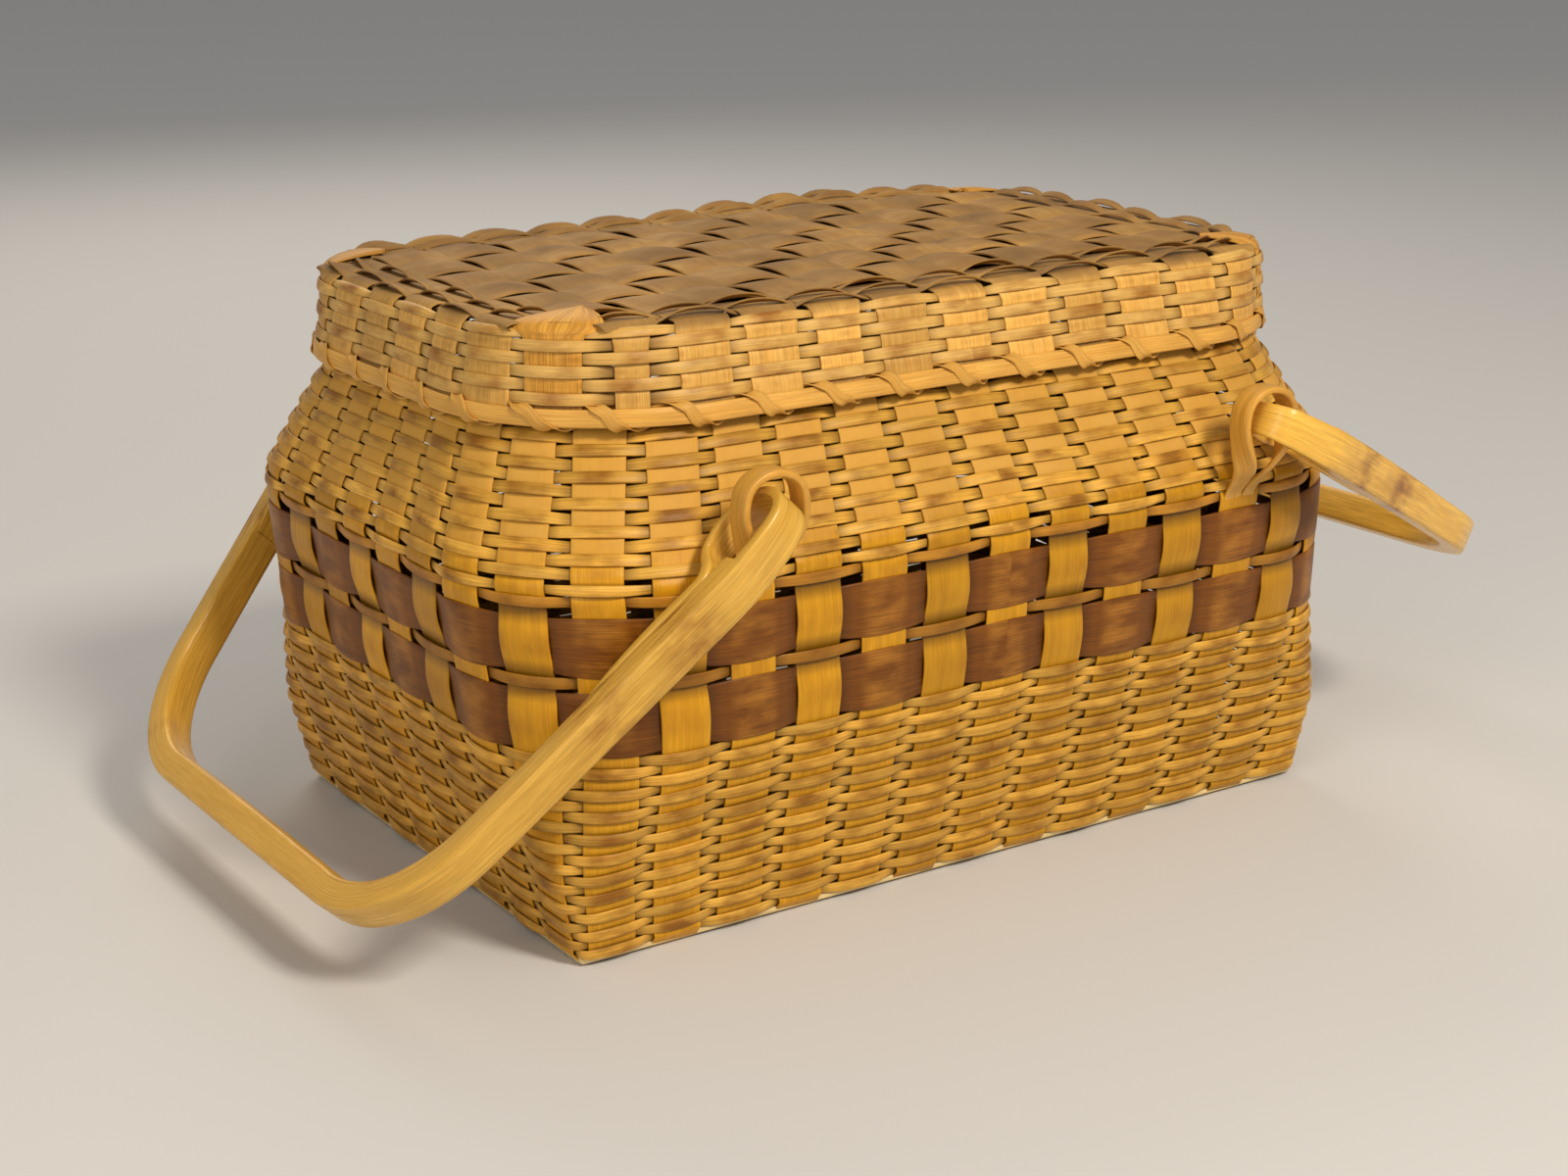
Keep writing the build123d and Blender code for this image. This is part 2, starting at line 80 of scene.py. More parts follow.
def around(half_length, half_width, radius, turns, pitches, front_pitches):
    """Place on a rounded rectangle, counted in pitches from the middle of the front."""
    quarter = pitches / 4
    which = np.floor(turns / quarter).astype(int) % 4
    local = np.mod(turns, quarter)
    local = np.where(which % 2 == 1, quarter - local, local)
    bend = pi * radius / 2
    front = half_length - radius
    side = half_width - radius
    if front_pitches is None:
        length = local / quarter * (front + bend + side)
    else:
        first = local / front_pitches * (front + bend / 2)
        rest = (quarter - local) / (quarter - front_pitches) * (side + bend / 2)
        length = np.where(local <= front_pitches, first, front + bend + side - rest)
    angle = np.clip((length - front) / radius, 0, pi / 2)
    x = np.minimum(length, front) + radius * np.sin(angle)
    y = half_width - radius * (1 - np.cos(angle)) - np.maximum(length - front - bend, 0)
    x_sign = np.where(which < 2, 1, -1)
    y_sign = np.where((which == 0) | (which == 3), -1, 1)
    normal_x = x_sign * np.sin(angle)
    normal_y = y_sign * np.cos(angle)
    return x_sign * x, y_sign * y, normal_x, normal_y


def shell(profile, turns, level, lift, pitches, front_pitches):
    """Points on a wall, lifted off it along its own normal, in millimetres."""
    turns, level, lift = np.broadcast_arrays(turns, level, lift)
    turns = np.mod(turns.astype(float), pitches)
    x, y, normal_x, normal_y = around(*profile(level)[:3], turns, pitches, front_pitches)
    z = profile(level)[3]
    reach = 0.75
    low = profile(level - reach)
    high = profile(level + reach)
    low_x, low_y, _, _ = around(*low[:3], turns, pitches, front_pitches)
    high_x, high_y, _, _ = around(*high[:3], turns, pitches, front_pitches)
    outward = (high_x - low_x) * normal_x + (high_y - low_y) * normal_y
    rise = high[3] - low[3]
    size = np.hypot(outward, rise)
    flat = rise / size
    points = np.stack([
        x + normal_x * flat * lift,
        y + normal_y * flat * lift,
        z - outward / size * lift,
    ], axis=-1)
    return points


def slow_wave(turns, level, pitches, size, seed):
    """Smooth unevenness that closes on itself round the wall."""
    waves = np.random.default_rng(seed)
    total = np.zeros(np.broadcast(turns, level).shape)
    for count in (1, 2, 3, 5, 7, 9, 13):
        phase, drift = waves.uniform(0, 2 * pi), waves.normal(0, 0.035)
        share = size / count ** 0.5 * 0.6
        total = total + share * np.sin(2 * pi * count * turns / pitches + phase + drift * level)
    return total


def body_point(turns, level, lift):
    """A point of the body's weave; the hand-made wall is a little uneven."""
    turns = np.asarray(turns, float)
    calm = np.clip(np.asarray(level, float) / CALM_FOOT, 0.0, 1.0)
    calm = calm * np.clip((NECK_LEVEL - level) / CALM_NECK, 0.0, 1.0)
    uneven = slow_wave(turns, level, BODY_PITCHES, 0.55, 11) * calm
    sway = slow_wave(turns, level * 0.6, BODY_PITCHES, 0.75, 12) * calm
    return shell(
        body_profile, turns, level + sway, lift + uneven - MID_WEAVE_DEPTH,
        BODY_PITCHES, FRONT_PITCHES,
    )


# A splint's section: share of the half width and share of the thickness, outer face first
SPLINT_SECTION = np.array([
    [-1.0, -0.2], [-0.97, 0.25], [-0.8, 0.5], [0.0, 0.62], [0.8, 0.5], [0.97, 0.25],
    [1.0, -0.2], [0.8, -0.5], [-0.8, -0.5],
])
WIDE_SECTION = np.array([
    [-1.0, -0.3], [-1.0, 0.3], [-0.96, 0.5], [-0.6, 0.56], [-0.2, 0.6], [0.2, 0.6],
    [0.6, 0.56], [0.96, 0.5], [1.0, 0.3], [1.0, -0.3], [0.96, -0.5], [0.4, -0.5],
    [-0.4, -0.5], [-0.96, -0.5],
])


class Bundle:
    """Gathers splints into one mesh, with grain coordinates and a tone for each splint."""

    def __init__(self):
        self.points, self.faces, self.grain, self.lift, self.tone = [], [], [], [], []
        self.size = 0

    def add(self, rows, across, lift, closed=False):
        """rows is (stations, corners of the section, 3); across is the place over the width."""
        count, corners = rows.shape[:2]
        index = self.size + np.arange(count * corners).reshape(count, corners)
        after = np.roll(index, -1, axis=0)
        steps = count if closed else count - 1
        a = index[:steps]
        d = after[:steps]
        b = np.roll(a, -1, axis=1)
        c = np.roll(d, -1, axis=1)
        faces = np.stack([a, d, c, b], axis=-1).reshape(-1, 4)
        middle = rows.mean(axis=1)
        stride = np.linalg.norm(np.roll(middle, -1, axis=0) - middle, axis=1)
        along = np.concatenate([[0.0], np.cumsum(stride)])
        start = np.repeat(along[:steps, None], corners, axis=1)
        end = np.repeat(along[1:steps + 1, None], corners, axis=1)
        here = np.broadcast_to(across, (count, corners))
        near = here[:steps]
        far = np.roll(here, -1, axis=0)[:steps]
        u = np.stack([start, end, end, start], axis=-1).reshape(-1, 4)
        v = np.stack([
            near, far, np.roll(far, -1, axis=1), np.roll(near, -1, axis=1)
        ], axis=-1).reshape(-1, 4)
        self.points.append(rows.reshape(-1, 3))
        self.faces.append(faces)
        self.grain.append(np.stack([u, v], axis=-1))
        self.lift.append(np.broadcast_to(np.reshape(lift, (-1, 1)), (count, corners)).ravel())
        self.tone.append(np.full(count * corners, chance.uniform()))
        self.size += count * corners
        if not closed:
            self.cap(index[0][::-1], rows[0][::-1])
            self.cap(index[-1], rows[-1])

    def cap(self, ring, rim):
        """Closes a cut end with a fan of quads from the middle of the section."""
        hub = self.size
        self.size += 1
        self.points.append(rim.mean(axis=0)[None])
        self.lift.append(np.zeros(1))
        self.tone.append(np.full(1, self.tone[-1][-1]))
        count = len(ring)
        fan = [[ring[k], ring[(k + 1) % count], hub, hub] for k in range(count)]
        self.faces.append(np.array(fan))
        self.grain.append(np.zeros((count, 4, 2)))

    def piece(self, name):
        """The finished object, in metres."""
        faces = np.concatenate(self.faces)
        grain = np.concatenate(self.grain) * MM
        fans = faces[:, 2] == faces[:, 3]
        quads, triangles = faces[~fans], faces[fans][:, :3]
        corners = np.concatenate([quads.ravel(), triangles.ravel()])
        starts = np.concatenate([
            np.arange(len(quads)) * 4, len(quads) * 4 + np.arange(len(triangles)) * 3
        ])
        coordinates = np.concatenate([
            grain[~fans].reshape(-1, 2), grain[fans][:, :3].reshape(-1, 2)
        ])
        points = np.concatenate(self.points) * MM
        mesh = bpy.data.meshes.new(name)
        mesh.vertices.add(len(points))
        mesh.vertices.foreach_set("co", points.astype(np.float32).ravel())
        mesh.loops.add(len(corners))
        mesh.loops.foreach_set("vertex_index", corners.astype(np.int32))
        mesh.polygons.add(len(starts))
        mesh.polygons.foreach_set("loop_start", starts.astype(np.int32))
        mesh.update(calc_edges=True)
        layer = mesh.uv_layers.new(name="grain")
        layer.data.foreach_set("uv", coordinates.astype(np.float32).ravel())
        for label, values in (("lift", self.lift), ("tone", self.tone)):
            made = mesh.attributes.new(label, "FLOAT", "POINT")
            made.data.foreach_set("value", np.concatenate(values).astype(np.float32))
        mesh.validate()
        mesh.shade_smooth()
        made = bpy.data.objects.new(name, mesh)
        bpy.context.scene.collection.objects.link(made)
        return made


def finish(piece, body, slot, material, *nodes):
    """Hands a piece over: its finish, its body and the nodes it stands for; slot is not used."""
    piece.data.materials.append(material)
    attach(piece, body)
    if nodes:
        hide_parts(*nodes)
    return piece


def swing(turns):
    """Over and under: +1 over an even standard and -1 under an odd one, flat across each."""
    wave = np.cos(pi * turns)
    return wave * (1.28 - 0.28 * wave ** 2)


def linear(code):
    """An sRGB hex colour as the linear colour that a shader takes."""
    values = [int(code[k:k + 2], 16) / 255 for k in (1, 3, 5)]
    return [v / 12.92 if v <= 0.04045 else ((v + 0.055) / 1.055) ** 2.4 for v in values] + [1]


def node(tree, kind, links=(), out=0, **settings):
    """Adds a shader node with its settings and links, and gives back one of its outputs."""
    made = tree.nodes.new("ShaderNode" + kind)
    for name, value in settings.items():
        setattr(made, name, value)
    for socket, value in links:
        if isinstance(value, bpy.types.NodeSocket):
            tree.links.new(value, made.inputs[socket])
        else:
            made.inputs[socket].default_value = value
    return made.outputs[out] if made.outputs else None


# Repeats to the millimetre along and across a splint, then the noise's detail and roughness:
# pores 25 mm by 0.5 mm, bands of early and late wood 70 mm by 3 mm, patches 20 mm by 9 mm
GRAIN_PATTERNS = ((0.04, 1.9, 4.0, 0.62), (0.014, 0.33, 2.0, 0.5), (0.05, 0.11, 3.0, 0.5))
SPLINT_SHIFT = 40.0          # metres of grain between the darkest splint and the palest
PORE_DEPTH = 0.4             # deeper than life, to show from across a room
CLOUD_SIZE = 26.3            # width of a cloud of dust or fading


def ash_splint(name, pale, middle, stain, shade_and_dirt_under, stain_and_sheen_amount, rough, grit=0.5, faded=None,
               gloss=0.3):
    """Ash wood split along the ring: long straight grain, dark pores, a dull waxy surface."""
    material = bpy.data.materials.new(name)
    material.use_nodes = True
    tree = material.node_tree
    tree.nodes.clear()
    grain = node(tree, "UVMap", uv_map="grain")
    tone = node(tree, "Attribute", out="Fac", attribute_name="tone")
    lift = node(tree, "Attribute", out="Fac", attribute_name="lift")
    spread = node(tree, "Math", [(0, tone), (1, SPLINT_SHIFT)], operation="MULTIPLY")
    shift = node(tree, "CombineXYZ", [("X", spread), ("Y", spread)])
    place = node(tree, "VectorMath", [(0, grain), (1, shift)], operation="ADD")
    patterns = []
    for along, across, detail, breakup in GRAIN_PATTERNS:
        at = node(tree, "VectorMath",
                  [(0, place), (1, (along / MM, across / MM, 1.0))], operation="MULTIPLY")
        patterns.append(node(
            tree, "TexNoise",
            [("Vector", at), ("Scale", 1.0), ("Detail", detail), ("Roughness", breakup)],
            noise_dimensions="2D",
        ))
    pores, bands, patches = patterns
    # Each splint has its own tone, and the wood runs from pale to middle across its bands
    tint = node(tree, "Mix", [("Factor", bands), ("A", linear(pale)),
                ("B", linear(middle))], out="Result", data_type="RGBA")
    by_tone = node(tree, "MapRange", [("Value", tone), ("To Min", 0.78), ("To Max", 1.16)])
    toned = node(tree, "VectorMath", [(0, tint), ("Scale", by_tone)], operation="SCALE")
    # Handling has browned what stands proud, in patches (on the walnut band that lighter colour is
    # a painted sheen), and what dives under is darkened with painted shade mixed with dirt
    raised = node(tree, "MapRange", [("Value", lift), ("From Min", 0.35),
                  ("From Max", 1.0)], interpolation_type="SMOOTHSTEP")
    # On the walnut band the colour laid on here is a painted sheen; on the other splints it is a
    # real stain
    worn = node(tree, "MapRange", [("Value", patches), ("From Min", 0.35),
                ("From Max", 0.72), ("To Max", stain_and_sheen_amount)])
    amount = node(tree, "Math", [(0, raised), (1, worn)], operation="MULTIPLY")
    stained = node(tree, "Mix", [("Factor", amount), ("A", toned),
                   ("B", linear(stain))], out="Result", data_type="RGBA")
    # Painted shade, partly standing for dirt: the fourth colour darkens a splint where it dives
    # under another
    shade_and_dirt_mask = node(tree, "MapRange", [("Value", lift), ("From Min", -0.9),
                ("From Max", 0.1), ("To Min", 0.75), ("To Max", 0.0)])
    shaded = node(tree, "Mix", [("Factor", shade_and_dirt_mask), ("A", stained),
                  ("B", linear(shade_and_dirt_under))], out="Result", data_type="RGBA")
    streak = node(tree, "MapRange", [("Value", pores), ("From Min", 0.3),
                  ("From Max", 0.7), ("To Min", 1.0 - 0.32 * grit),
                  ("To Max", 1.0 + 0.18 * grit)])
    colour = node(tree, "VectorMath", [(0, shaded), ("Scale", streak)], operation="SCALE")
    dull = node(tree, "MapRange", [("Value", pores), ("To Min", rough - 0.1),
                ("To Max", rough + 0.12)])
    if faded:
        # Above this height dust or daylight has taken the colour out
        code, start, end = faded
        spot = node(tree, "TexCoord", out="Object")
        height = node(tree, "SeparateXYZ", [(0, spot)], "Z")
        settled = node(tree, "MapRange", [("Value", height), ("From Min", start * MM),
                       ("From Max", end * MM)], interpolation_type="SMOOTHSTEP")
        cloud = node(tree, "TexNoise", [("Vector", spot),
                     ("Scale", round(1 / (CLOUD_SIZE * MM), 1)), ("Detail", 4.0)])
        patchy = node(tree, "MapRange", [("Value", cloud), ("From Min", 0.25),
                      ("From Max", 0.75), ("To Min", 0.45), ("To Max", 1.0)])
        share = node(tree, "Math", [(0, settled), (1, patchy)], operation="MULTIPLY")
        colour = node(tree, "Mix", [("Factor", share), ("A", colour),
                      ("B", linear(code))], out="Result", data_type="RGBA")
        dull = node(tree, "MapRange", [("Value", share), ("To Min", rough),
                    ("To Max", 0.8)])
    relief = node(tree, "Math", [(0, pores), (1, bands)], operation="ADD")
    bump = node(tree, "Bump", [("Height", relief), ("Strength", 0.35 * grit),
                ("Distance", PORE_DEPTH * MM)])
    surface = node(tree, "BsdfPrincipled", [
        ("Base Color", colour), ("Roughness", dull), ("Normal", bump), ("IOR", 1.5),
        ("Specular IOR Level", gloss),
    ])
    node(tree, "OutputMaterial", [("Surface", surface)])
    return material


# Split ash, stained by hands: a soft sheen, honey coloured, browner where fingers rub
weaver_ash = ash_splint(
    "split ash weavers, hand stained", "#e6b750", "#c08829", "#845007", "#2a1502", 0.9, 0.42, 0.9
)

STEPS_PER_PITCH = 8


def ring(bundle, point, pitches, level, height, sign, swell, thickness=WEAVER_THICKNESS,
         section=SPLINT_SECTION, stand_off=0.0, jitter=0.12, tilt=0.0, heave=0.18, narrowed=0.05,
         turns=None, press=1.0):
    """One row of weave round a wall; press flattens it and turns says where it crosses."""
    crossings = np.arange(pitches * STEPS_PER_PITCH) / STEPS_PER_PITCH
    turns = crossings if turns is None else turns
    over = sign * swing(crossings)
    uneven = chance.uniform(1 - jitter, 1 + jitter, pitches)
    uneven = uneven[np.round(crossings).astype(int) % pitches] * press
    rise = slow_wave(crossings, level, pitches, heave, int(level * 10) % 997)
    width = height / 2 * (1 - narrowed + narrowed * over)
    levels = level + rise[:, None] + section[None, :, 0] * width[:, None]
    lifts = stand_off + (swell * over * uneven)[:, None] + section[None, :, 1] * thickness
    # A float that passes over a standard leans back, so that its face looks up a little
    lifts = lifts - tilt * section[None, :, 0] * np.clip(over, 0, 1)[:, None]
    rows = point(turns[:, None], levels, lifts)
    bundle.add(rows, section[:, 0] * height / 2, over, closed=True)


LOWER_ROWS = 20
low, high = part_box("lower_weavers")
FOOT_SHOWS = 2.2             # height of the pale foot splint that the lowest row leaves bare
lower_start = low[2] / MM + FOOT_SHOWS
lower_pitch = (high[2] / MM - lower_start) / (LOWER_ROWS - 0.1)
weavers = Bundle()
for row in range(LOWER_ROWS):
    sign = 1 if (LOWER_ROWS - row) % 2 == 0 else -1
    level = lower_start + (row + 0.5) * lower_pitch
    ring(weavers, body_point, BODY_PITCHES, level, lower_pitch * 0.97, sign, 1.6, tilt=0.4)
finish(weavers.piece("fine_weavers"), "basket", "weaver_splint", weaver_ash, "lower_weavers")

# ---------------------------------------------------------------- brown weavers
# Two wide splints stained walnut brown before weaving, with the grain running round the
# basket.  Each passes over the same standards, and a narrow dark splint parts them.

# Walnut stain over ash: dull red brown, with a painted sheen of gold in streaks along the grain
# where it stands proud
brown_ash = ash_splint(
    "wide ash splint, walnut stain", "#8a5108", "#6f3d05", "#a97022", "#341903", 0.9, 0.4, 1.0
)
# The same stain, thinner, on narrow splint: tan, and brown where it is gripped
dark_ash = ash_splint(
    "narrow ash splint, brown stain", "#c08a2c", "#97600f", "#6b3a06", "#422003", 0.7, 0.42
)


def middle_and_height(name):
    """Height of the middle of a row, and its width, from its CAD node."""
    low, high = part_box(name)
    return (low[2] + high[2]) / 2 / MM, (high[2] - low[2]) / MM


BAND_TRIM = 1.8              # the upper one is cut a little narrow and leaves a gap above it
for name in ("brown_weaver_lower", "brown_weaver_upper"):
    level, height = middle_and_height(name)
    if name == "brown_weaver_upper":
        level, height = level - BAND_TRIM / 2, height - BAND_TRIM
    band = Bundle()
    ring(band, body_point, BODY_PITCHES, level, height, 1, 1.15, 1.0, WIDE_SECTION, 0.15, 0.06)
    finish(band.piece(name + "_splint"), "basket", "brown_splint", brown_ash, name)
FOLD_RAISE = 1.3             # the upper dark splint has ridden up and left a gap below it
for name in ("divider_weaver", "fold_weaver"):
    level, height = middle_and_height(name)
    level = level + (FOLD_RAISE if name == "fold_weaver" else 0.0)
    band = Bundle()
    ring(band, body_point, BODY_PITCHES, level, height, -1, 1.45)
    finish(band.piece(name + "_splint"), "basket", "weaver_splint", dark_ash, name)

# ---------------------------------------------------------------- shoulder weavers
# Above the fold the standards lean in, and twelve rows of the same narrow splint draw them
# to the neck.  The first row sits just over the fold, and leaves dark gaps above it.

SHOULDER_ROWS = 12
low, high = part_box("shoulder_weavers")
shoulder_top = high[2] / MM
fold_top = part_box("fold_weaver")[1][2] / MM
first_level = fold_top + 4.1
second_level = fold_top + 10.0
shoulder_levels = [first_level] + list(
    np.linspace(second_level, shoulder_top - 2.0, SHOULDER_ROWS - 1)
)
shoulder = Bundle()
for row, level in enumerate(shoulder_levels):
    ring(shoulder, body_point, BODY_PITCHES, level, 4.2, 1 if row % 2 == 0 else -1, 1.4, tilt=0.25)
finish(shoulder.piece("shoulder_splints"), "basket", "weaver_splint", weaver_ash,
       "shoulder_weavers")

# ---------------------------------------------------------------- standards
# Wide ash splints that cross on the base and turn up as the 44 uprights of the wall.  They
# are shaved smooth, golden, and show a straight grain along their length.

STANDARD_WIDTH = 20.5
STANDARD_THICKNESS = 0.9
# Shaved ash under old wax: deep gold and nearly even, bleached pale above the fold
standard_ash = ash_splint(
    "shaved ash standards", "#d69d1c", "#bd840a", "#9f6708", "#462802", 0.5, 0.42, 0.5,
    ("#cf9f4b", 156.0, 172.0),
)
FINE_PUSH = 0.28             # how far a fine row bends a standard in or out
row_levels = [lower_start + (row + 0.5) * lower_pitch for row in range(LOWER_ROWS)]
row_signs = [1 if (LOWER_ROWS - row) % 2 == 0 else -1 for row in range(LOWER_ROWS)]
row_swells = [FINE_PUSH] * LOWER_ROWS
for name, sign, swell in (
    ("brown_weaver_lower", 1, 1.1), ("divider_weaver", -1, 0.8),
    ("brown_weaver_upper", 1, 1.2), ("fold_weaver", -1, 0.75),
):
    row_levels.append(middle_and_height(name)[0])
    row_signs.append(sign)
    row_swells.append(swell)
for row, level in enumerate(shoulder_levels):
    row_levels.append(level)
    row_signs.append(1 if row % 2 == 0 else -1)
    row_swells.append(FINE_PUSH if row else 0.8)
neck_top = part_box("neck_rim_outer")[1][2] / MM
row_levels = np.array([-6.0] + row_levels + [neck_top])
row_push = np.array([0.0] + [-s * w for s, w in zip(row_signs, row_swells)] + [0.0])
# On the lower wall the standards lie deeper, and their lift is set low so that they take painted
# shade, mixed with dirt, where they sink between the floats
row_over = [-0.5 * s - 0.4 if k < LOWER_ROWS else -float(s) for k, s in enumerate(row_signs)]
row_over = np.array([-0.3] + row_over + [-0.3])


def ease_between(at, knots, values):
    """Value between crossings, easing in and out of each."""
    knots, values = np.asarray(knots), np.asarray(values)
    above = np.clip(np.searchsorted(knots, at), 1, len(knots) - 1)
    share = np.clip((at - knots[above - 1]) / (knots[above] - knots[above - 1]), 0, 1)
    share = (1 - np.cos(pi * share)) / 2
    return values[above - 1] * (1 - share) + values[above] * share


def upright_levels():
    """Heights to sample: four to a fine row and eight to a wide band, top to bottom."""
    steps = []
    for below, above in zip(row_levels[1:], row_levels[2:]):
        count = 4 if above - below < 7 else 8
        steps += list(below + (above - below) * np.arange(count) / count)
    return np.array(sorted(steps + [neck_top]))[::-1]


BASE_TURN = 3.2              # radius of the turn from the wall onto the base
BASE_MIDDLE = 1.45           # height of the middle of the base's weave
BASE_SWELL = 0.62            # how far each splint bends over and under it
BASE_PITCH = 28.8            # spacing of the splints that cross the base
FOOT_BELLY = 1.5


def standard(name, centres, crossings, parity):
    """One standard: down the wall, over and under the others on the base, and up again."""
    levels = upright_levels()
    levels = levels[levels > BASE_TURN + 1.0]
    walls, overs = [], []
    for centre, lean in zip(centres, (1, -1)):
        side = 1 if round(centre) % 2 == 0 else -1
        pitch = 2 * np.linalg.norm(
            body_point(centre + 0.25, levels, 0) - body_point(centre - 0.25, levels, 0), axis=-1
        )
        # Shaved narrower where the corners crowd them, and never quite even
        half = np.minimum(STANDARD_WIDTH, 0.78 * pitch) / 2
        half = half * (1 + 0.03 * np.sin(levels / 37 + centre))
        push = side * ease_between(levels, row_levels, row_push)
        # Where the lowest row passes behind, the turn onto the base bellies out like a foot
        if side < 0:
            push = push + FOOT_BELLY * np.exp(-((levels - 3.0) / 3.2) ** 2)
        turns = centre + lean * WIDE_SECTION[None, :, 0] * (half / pitch)[:, None]
        lifts = push[:, None] + WIDE_SECTION[None, :, 1] * STANDARD_THICKNESS
        walls.append(body_point(turns, levels[:, None], lifts))
        overs.append(side * ease_between(levels, row_levels, row_over))
    foot, far_foot = walls[0][-1], walls[1][-1]
    start, end = foot.mean(axis=0), far_foot.mean(axis=0)
    reach = np.linalg.norm((end - start)[:2])
    trim = BASE_TURN / reach
    shares = trim + (1 - 2 * trim) * np.linspace(0, 1, crossings * 8 + 1)
    middle = start + (end - start) * shares[:, None]
    width_way = (foot[8] - foot[0]) * np.array([1, 1, 0])
    width_way = width_way / np.linalg.norm(width_way)
    position = (shares - 0.5) * reach / BASE_PITCH + (crossings - 1) / 2
    weave = parity * np.cos(pi * np.clip(position, -0.5, crossings - 0.5))
    half = STANDARD_WIDTH / 2
    base = middle[:, None, :] + width_way * WIDE_SECTION[None, :, :1] * half
    heights = BASE_MIDDLE + BASE_SWELL * weave
    base[..., 2] = heights[:, None] - WIDE_SECTION[None, :, 1] * STANDARD_THICKNESS
    made = Bundle()
    made.add(np.concatenate([walls[0], base, walls[1][::-1]]), WIDE_SECTION[:, 0] * half,
             np.concatenate([overs[0], -weave, overs[1][::-1]]))
    finish(made.piece(name + "_splint"), "basket", "standard_splint", standard_ash, name)


CROSS_COUNT = 13
LONG_COUNT = 9
for k in range(CROSS_COUNT):
    step = k - (CROSS_COUNT - 1) // 2
    standard(f"cross_standard_{k + 1:02d}", (float(step % BODY_PITCHES), float(22 - step)),
             LONG_COUNT, 1 if k % 2 == 0 else -1)
for k in range(LONG_COUNT):
    step = k - (LONG_COUNT - 1) // 2
    standard(f"long_standard_{k + 1:02d}", (float(11 + step), float(33 - step)),
             CROSS_COUNT, -1 if k % 2 == 0 else 1)

# ---------------------------------------------------------------- neck rim
# Two thin ash hoops clamp the tops of the standards between them, and a narrow splint is
# wound round both as a lashing.  The lid sits over this rim.

# Steamed and bent ash: pale straw, plain, a little darker at the lashing
rim_ash = ash_splint(
    "bent ash hoops and lashing", "#e3b35c", "#cf963c", "#a56819", "#7a4a10", 0.5, 0.42, 0.7
)
HOOP_SECTION = np.array([
    [-1.0, 0.2], [-0.9, 0.45], [-0.5, 0.6], [0.0, 0.65], [0.5, 0.6], [0.9, 0.45], [1.0, 0.2],
    [1.0, -0.4], [0.9, -0.5], [-0.9, -0.5], [-1.0, -0.4],
])


def hoop(point, pitches, name, lift, thickness):
    """A hoop between the heights of its CAD node, pressed a little between the standards."""
    low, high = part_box(name)
    level, half = (low[2] + high[2]) / 2 / MM, (high[2] - low[2]) / 2 / MM
    turns = np.arange(pitches * 6) / 6
    rise = slow_wave(turns, level, pitches, 0.18, int(level) + len(name))
    swell = 0.12 * np.cos(2 * pi * turns)
    levels = level + rise[:, None] + HOOP_SECTION[None, :, 0] * half * 0.97
    lifts = lift + swell[:, None] + HOOP_SECTION[None, :, 1] * thickness
    made = Bundle()
    made.add(point(turns[:, None], levels, lifts), HOOP_SECTION[:, 0] * half, swell, closed=True)
    return made


def unit(vectors):
    """Each vector at unit length."""
    return vectors / np.linalg.norm(vectors, axis=1, keepdims=True)


def square_to(tangent, vectors):
    """The part of each vector that is square to the path, at unit length."""
    return unit(vectors - tangent * np.sum(vectors * tangent, axis=1, keepdims=True))


def swept(path, sideways, normal, section, half, thickness):
    """A section carried along a path."""
    return (path[:, None] + sideways[:, None] * section[None, :, :1] * half
            + normal[:, None] * section[None, :, 1:] * thickness)


def lashing(point, pitches, low, high, inner, outer, width, thickness):
    """A splint wound round the rim once a pitch, down the outside and up the inside."""
    per_wrap = 20
    place = np.arange(pitches * per_wrap) / per_wrap
    share = np.mod(place, 1.0)
    whole = np.floor(place)
    shift = chance.normal(0, 0.05, pitches)[whole.astype(int)] * np.sin(pi * share) ** 2
    # The outside run is slanted over two fifths of a pitch, and the inside run over the rest
    turns = whole + 0.5 + np.interp(share, [0, 0.5, 1], [0, 0.44, 1.0]) + shift
    angle = pi / 2 - 2 * pi * share
    tall, deep = np.sin(angle), np.cos(angle)
    middle, half = (low + high) / 2, (high - low) / 2
    centre, reach = (inner + outer) / 2, (outer - inner) / 2
    levels = middle + half * np.sign(tall) * np.abs(tall) ** 0.55
    lifts = centre + reach * np.sign(deep) * np.abs(deep) ** 0.55
    path = point(turns, levels, lifts)
    outward = point(turns, levels, lifts + 1.0) - path
    upward = point(turns, levels + 0.5, lifts) - point(turns, levels - 0.5, lifts)
    normal = outward * (deep / reach)[:, None] + upward * (tall / half)[:, None]
    tangent = unit(np.roll(path, -1, axis=0) - np.roll(path, 1, axis=0))
    normal = square_to(tangent, normal)
    rows = swept(path, np.cross(tangent, normal), normal, SPLINT_SECTION, width / 2, thickness)
    made = Bundle()
    made.add(rows, SPLINT_SECTION[:, 0] * width / 2, 0.3 + 0.2 * deep, closed=True)
    return made


for place, lift in (("outer", 1.3), ("inner", -1.3)):
    finish(hoop(body_point, BODY_PITCHES, "neck_rim_" + place, lift, 1.2)
           .piece("neck_hoop_" + place), "basket", "rim_splint", rim_ash, "neck_rim_" + place)
low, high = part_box("neck_lashing")
finish(lashing(body_point, BODY_PITCHES, low[2] / MM + 0.3, high[2] / MM - 0.3, -2.45, 2.45,
               4.5, 0.6).piece("neck_lashing_splint"),
       "basket", "rim_splint", rim_ash, "neck_lashing")

# ---------------------------------------------------------------- lid weavers
# The lid is a shallow basket upside down: its splints run up a skirt and across the top.
# Six rows go round the skirt and four round the edge of the top, left dusty and grey.

